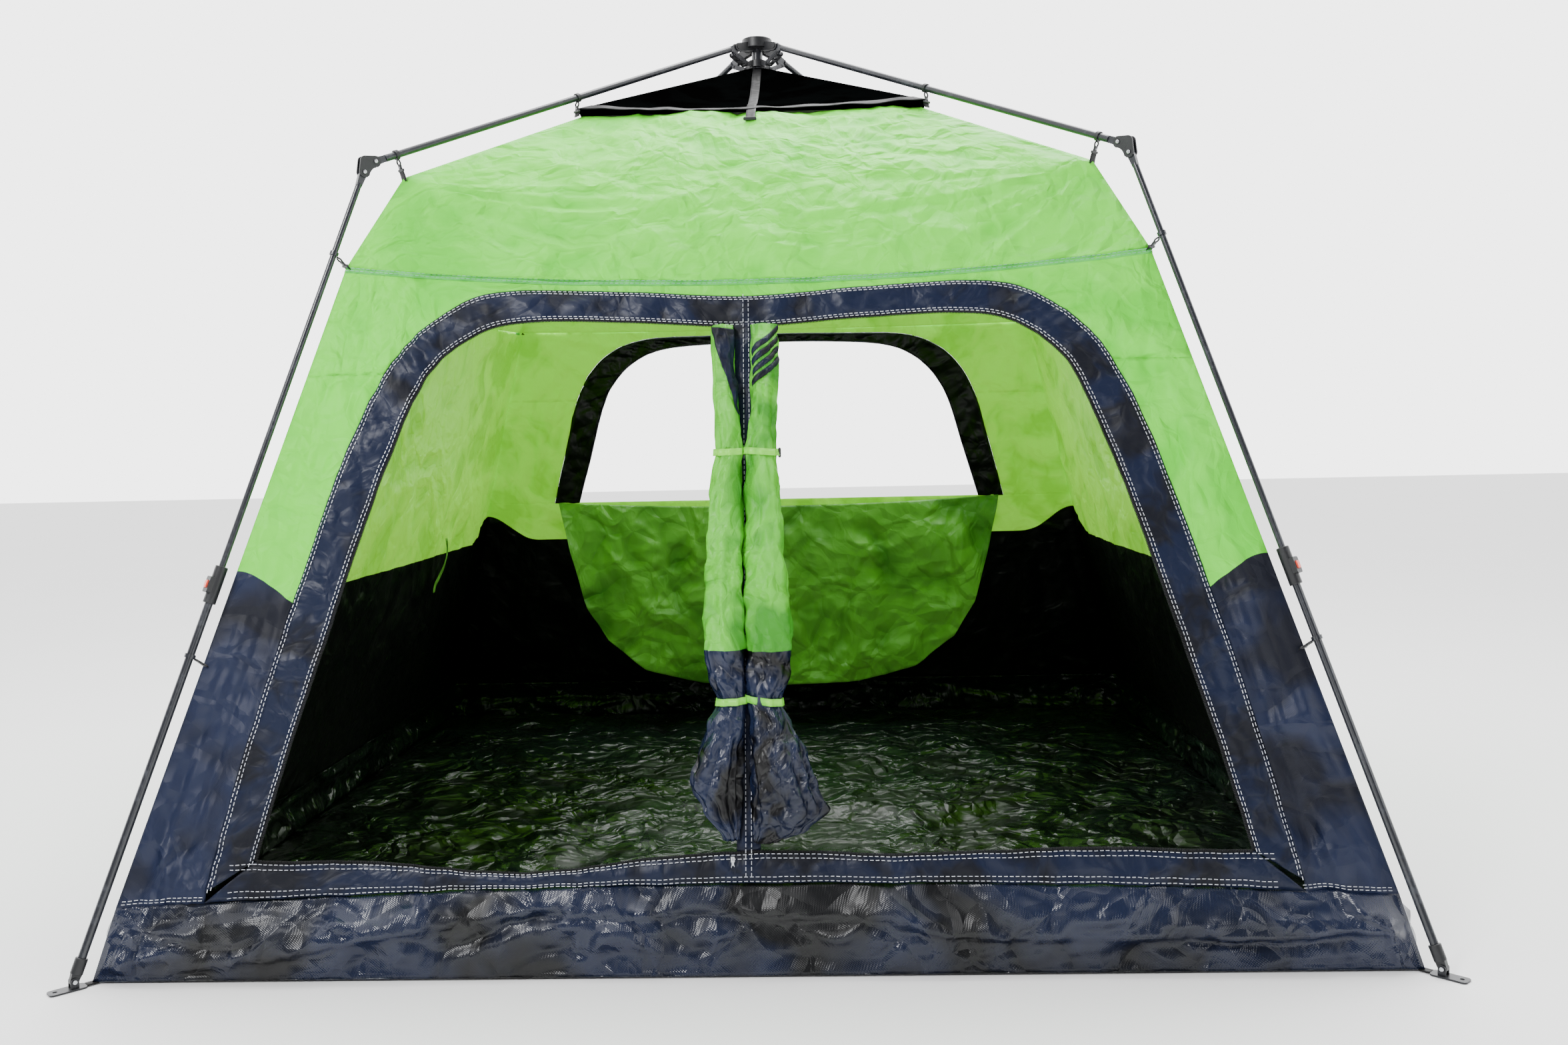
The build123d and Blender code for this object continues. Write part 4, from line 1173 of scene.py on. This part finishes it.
def hook_shape():
    """A moulded hook: a loop that goes over the pole's ring, a shank, and a slot bar for the webbing."""
    loop = loop_of_wire("hook_loop", 0.0068, 0.0068, 0.0020, PLASTIC)
    loop.data.transform(Matrix.Translation((0, -0.004, 0)))
    shank = bevelled_box("hook_shank", (0.0100, 0.0140, 0.0052), 0.0012, PLASTIC, (0, -0.0150, 0))
    bar = bevelled_box("hook_bar", (0.0240, 0.0055, 0.0052), 0.0014, PLASTIC, (0, -0.0225, 0))
    pin = rivet_cap("hook_pin", 0.0026, 0.0066, STEEL)
    pin.data.transform(Matrix.Translation((0, -0.0150, 0)))
    return join("hook_shape", loop, shank, bar, pin)


def corner_joins():
    """For each ring on a corner's poles: body, ring place, cloth corner, all as (radius, height)."""
    diagonal = math.sqrt(2)
    upper, lower = step_along(KNEE, FOOT, EAVE_RING_AT), step_along(FOOT, KNEE, WALL_RING_AT)
    sewn_z = lower[1] - WALL_HOOK_DROP
    return (
        ("rafter", step_along(HUB_PIVOT, KNUCKLE, CAP_RING_AT), (CAP_HALF * diagonal, CAP_Z), "cap"),
        ("rafter", step_along(HUB_PIVOT, KNUCKLE, ROOF_RING_AT), (BREAK_HALF * diagonal, BREAK_Z), "roof"),
        ("leg", upper, (EAVE_HALF * diagonal, EAVE_Z), "eave"),
        ("lower_leg", lower, (wall_half(sewn_z) * diagonal, sewn_z), "wall"),
    )


def pin_heads(shape, name, angle, place, reach, body):
    """A bright head on each end of a pin through a corner's plane."""
    turn = Matrix.Rotation(math.radians(angle), 4, "Z") @ Matrix.Rotation(math.pi / 2, 4, "X")
    for off in (-reach, reach):
        head = copy_at(shape, name, Matrix.Translation(radial(angle, *place, off)) @ turn)
        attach(head, body)


def corner_fittings():
    """Hooks and webbing from the poles' rings to the cloth's corners, and the heads of the pins."""
    hook = hook_shape()
    pin_head = rivet_cap("rivet_shape", 0.0045, 0.0014, STEEL)
    webbing, total = [], 0.0
    for corner, angle in CORNER_ANGLES.items():
        side_way = radial(angle, 0, 0, 1)
        for body, ring, cloth, part in corner_joins():
            start, end = radial(angle, *ring), radial(angle, *cloth)
            way = (end - start).normalized()
            clear = start + way * HOOK_CLEAR
            frame_of = Matrix((side_way, -way, side_way.cross(-way))).transposed().to_4x4()
            piece = copy_at(hook, f"hook_{part}_{corner}", Matrix.Translation(clear) @ frame_of)
            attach(piece, f"{body}_{corner}")
            first = clear + way * HOOK_REACH
            length = max((end - first).length, 0.006)
            lift = side_way.cross(way) * 0.0012

            def strap(a, b, first=first, way=way, length=length, lift=lift, side_way=side_way):
                along = first + way * mix(-0.002, length + 0.008, b)
                return along + side_way * (STRAP_W * (a - 0.5)) + lift * math.sin(math.pi * b)

            webbing.append(patch("strap", 4, 14, strap, (WEBBING,), outward=(0, 0, -3)))
            total += length + 0.010
        tub, foot = FLOOR_HALF * math.sqrt(2), FOOT[0] - 0.023

        def ground_strap(a, b, angle=angle, tub=tub, foot=foot):
            return radial(angle, mix(tub - 0.010, foot, b), 0.0035, STRAP_W * (a - 0.5))

        webbing.append(patch("strap", 4, 6, ground_strap, (WEBBING,), outward=(0, 0, -3)))
        total += foot - tub + 0.010
        for place in (KNUCKLE, KNEE):
            pin_heads(pin_head, "rivet_" + corner, angle, place, RIVET_REACH, "rafter_" + corner)
        pin_heads(pin_head, "foot_bolt_" + corner, angle, FOOT, FOOT_REACH, "foot_" + corner)
    straps = thicken(join("corner_webbing", *webbing), WEBBING_THICK)
    settle(straps, ["corner_straps"])
    for shape in (hook, pin_head):
        bpy.data.objects.remove(shape)


def zip_fittings():
    """The zip's slider and its hanging pull, in place of the plain ones."""
    low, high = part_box("zip_slider")
    middle = (low + high) / 2
    body = bevelled_box("slider_body", high - low, 0.0016, STEEL, middle)
    bridge = loop_of_wire("slider_bridge", 0.0024, 0.0040, 0.0008, STEEL)
    upright = Matrix.Rotation(math.pi / 2, 4, "Y")
    bridge.data.transform(Matrix.Translation((middle.x, low.y, middle.z)) @ upright)
    slider = join("zip_slider_detail", body, bridge)
    settle(slider, ["zip_slider"])
    low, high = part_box("zip_pull")
    middle = (low + high) / 2
    plate = bevelled_box("pull_plate", (0.0052, high.y - low.y, 0.0120), 0.0005, STEEL,
                         (middle.x, middle.y, high.z - 0.0065))
    eye = loop_of_wire("pull_eye", 0.0030, 0.0042, 0.0008, STEEL)
    flat = Matrix.Rotation(math.pi / 2, 4, "X")
    eye.data.transform(Matrix.Translation((middle.x, middle.y, low.z + 0.0050)) @ flat)
    pull = join("zip_pull_detail", plate, eye)
    settle(pull, ["zip_pull"], body="zip_pull")


def toggles():
    """Small moulded toggles: one on the cap's strap, one on the right roll's high tie."""
    at = roof_point(FRONT, 0.0, 0.875, 0.008)
    bar = bevelled_box("cap_strap_toggle", (0.034, 0.008, 0.008), 0.0025, PLASTIC, at)
    settle(bar)
    side = roll_point(RIGHT_ROLL, math.pi / 2, TIES_Z[0] - 0.004, 0.0, 0.0035)
    knob = bevelled_box("tie_toggle", (0.006, 0.008, 0.022), 0.0022, PLASTIC, side)
    settle(knob)


def small_cloth():
    """The hood over the side vent, and the ribbons that hang inside."""
    def hood(a, b):
        u = mix(-0.86, -0.36, a)
        z = mix(1.500, 1.295, b) - 0.020 * math.sin(math.pi * a) * b
        stand = 0.075 * math.sin(b * math.pi / 2) * (1 - (2 * a - 1) ** 4 * 0.75)
        return wall_point(RIGHT, u, z, 0.003 + stand + 0.004 * wave(a * 6, b * 3, 71.0))

    cover = patch("side_vent_hood", 40, 24, hood, (NAVY_BAND, NAVY_INSIDE))
    settle(thicken(cover, 0.0014, 1))

    for name, side, u, high, low, length in (("left", LEFT, -0.42, 0.80, 0.62, 0.19),
                                             ("right", RIGHT, -0.30, 0.86, 0.60, 0.24)):
        def ribbon(a, b, side=side, u=u, high=high, low=low):
            swing = 0.012 * math.sin(b * 5) + 0.020 * b
            return wall_point(side, u + 0.030 * (a - 0.5) + 0.02 * b, mix(high, low, b), -0.022 - swing)

        piece = patch("inner_tie_" + name, 4, 30, ribbon, (LIME_FLAP,))
        settle(thicken(piece))


groundsheet()
front_wall()
rear_wall()
window_flap()
side_walls()
roof()
vent()
door_rolls()
zip_folds()
seams()
door_zip()
corner_fittings()
zip_fittings()
toggles()
small_cloth()


# ---------------------------------------------------------------- floor, light and camera
WORLD_FRONT = 0.12          # strength of the light from the camera's side
WORLD_BACK = 4.2            # strength of the light behind the tent, which is also the backdrop
CAMERA_PLACE = (0.165, -4.085, 1.091)
CAMERA_TURNS = (("Z", 0.0278), ("X", -0.0574), ("Y", 0.0205), ("X", math.pi / 2))
LENS = 31.04                # in millimetres, on a sensor 36 wide


def studio():
    bpy.ops.mesh.primitive_plane_add(size=60, location=(0, 0, -0.001))
    ground = bpy.context.active_object
    ground.name = "studio_floor"
    made, tree, shader = material("studio_floor_paint")
    tint = noise_value(tree, object_place(tree), 1.2, 2.0)
    pale = blend_colours(tree, tint, (0.90, 0.90, 0.90, 1), (0.93, 0.93, 0.93, 1))
    tree.links.new(pale, shader.inputs["Base Color"])
    shader.inputs["Roughness"].default_value = 0.9
    ground.data.materials.append(made)

    world = bpy.data.worlds.new("studio_world")
    bpy.context.scene.world = world
    world.use_nodes = True
    sky = world.node_tree
    axes = sky.nodes.new("ShaderNodeSeparateXYZ")
    sky.links.new(sky.nodes.new("ShaderNodeTexCoord").outputs["Generated"], axes.inputs[0])
    level = stretch(sky, axes.outputs[1], -0.45, 0.40, WORLD_FRONT, WORLD_BACK)
    sky.nodes["Background"].inputs["Color"].default_value = (1.0, 1.0, 1.0, 1)
    sky.links.new(level, sky.nodes["Background"].inputs["Strength"])

    lamps = (
        ("key_light", (-2.6, -4.2, 4.4), 1.2, 240, (0, -0.6, 0.9)),
        ("fill_light", (4.4, -3.6, 2.2), 1.6, 45, (0, -0.8, 0.6)),
        ("low_light", (-0.6, -5.6, 1.6), 1.8, 20, (0, -1.2, 0.1)),
        ("top_light", (1.0, 1.0, 5.2), 3.0, 240, (0, 0, 1.5)),
    )
    for name, place, size, power, target in lamps:
        lamp = bpy.data.lights.new(name, "AREA")
        lamp.size = size
        lamp.energy = power
        holder = bpy.data.objects.new(name, lamp)
        bpy.context.scene.collection.objects.link(holder)
        way = Vector(target) - Vector(place)
        holder.matrix_world = Matrix.Translation(place) @ way.to_track_quat("-Z", "Y").to_matrix().to_4x4()

    lens = bpy.data.cameras.new("camera")
    lens.sensor_width = 36.0
    lens.lens = LENS
    lens.clip_end = 100
    camera = bpy.data.objects.new("camera", lens)
    bpy.context.scene.collection.objects.link(camera)
    aim = Matrix.Translation(CAMERA_PLACE)
    for axis, angle in CAMERA_TURNS:
        aim = aim @ Matrix.Rotation(angle, 4, axis)
    camera.matrix_world = aim
    bpy.context.scene.camera = camera


studio()


# ---------------------------------------------------------------- finishes of the frame's own nodes
FINISHES = {"black_tube": TUBE, "black_plastic": PLASTIC, "red_button": BUTTON,
            "bright_steel": STEEL, "foot_steel": FOOT_STEEL, "webbing": WEBBING, "tie_tape": TAPE,
            "lime_cloth": LIME_ROLL}


def finish_nodes():
    slots = {part["node"]: part["material_slot"] for part in frame["record"]["subparts"]}
    for name, node in frame["nodes"].items():
        finish = FINISHES.get(slots[name])
        if finish:
            for place in node.material_slots:
                place.material = finish


finish_nodes()
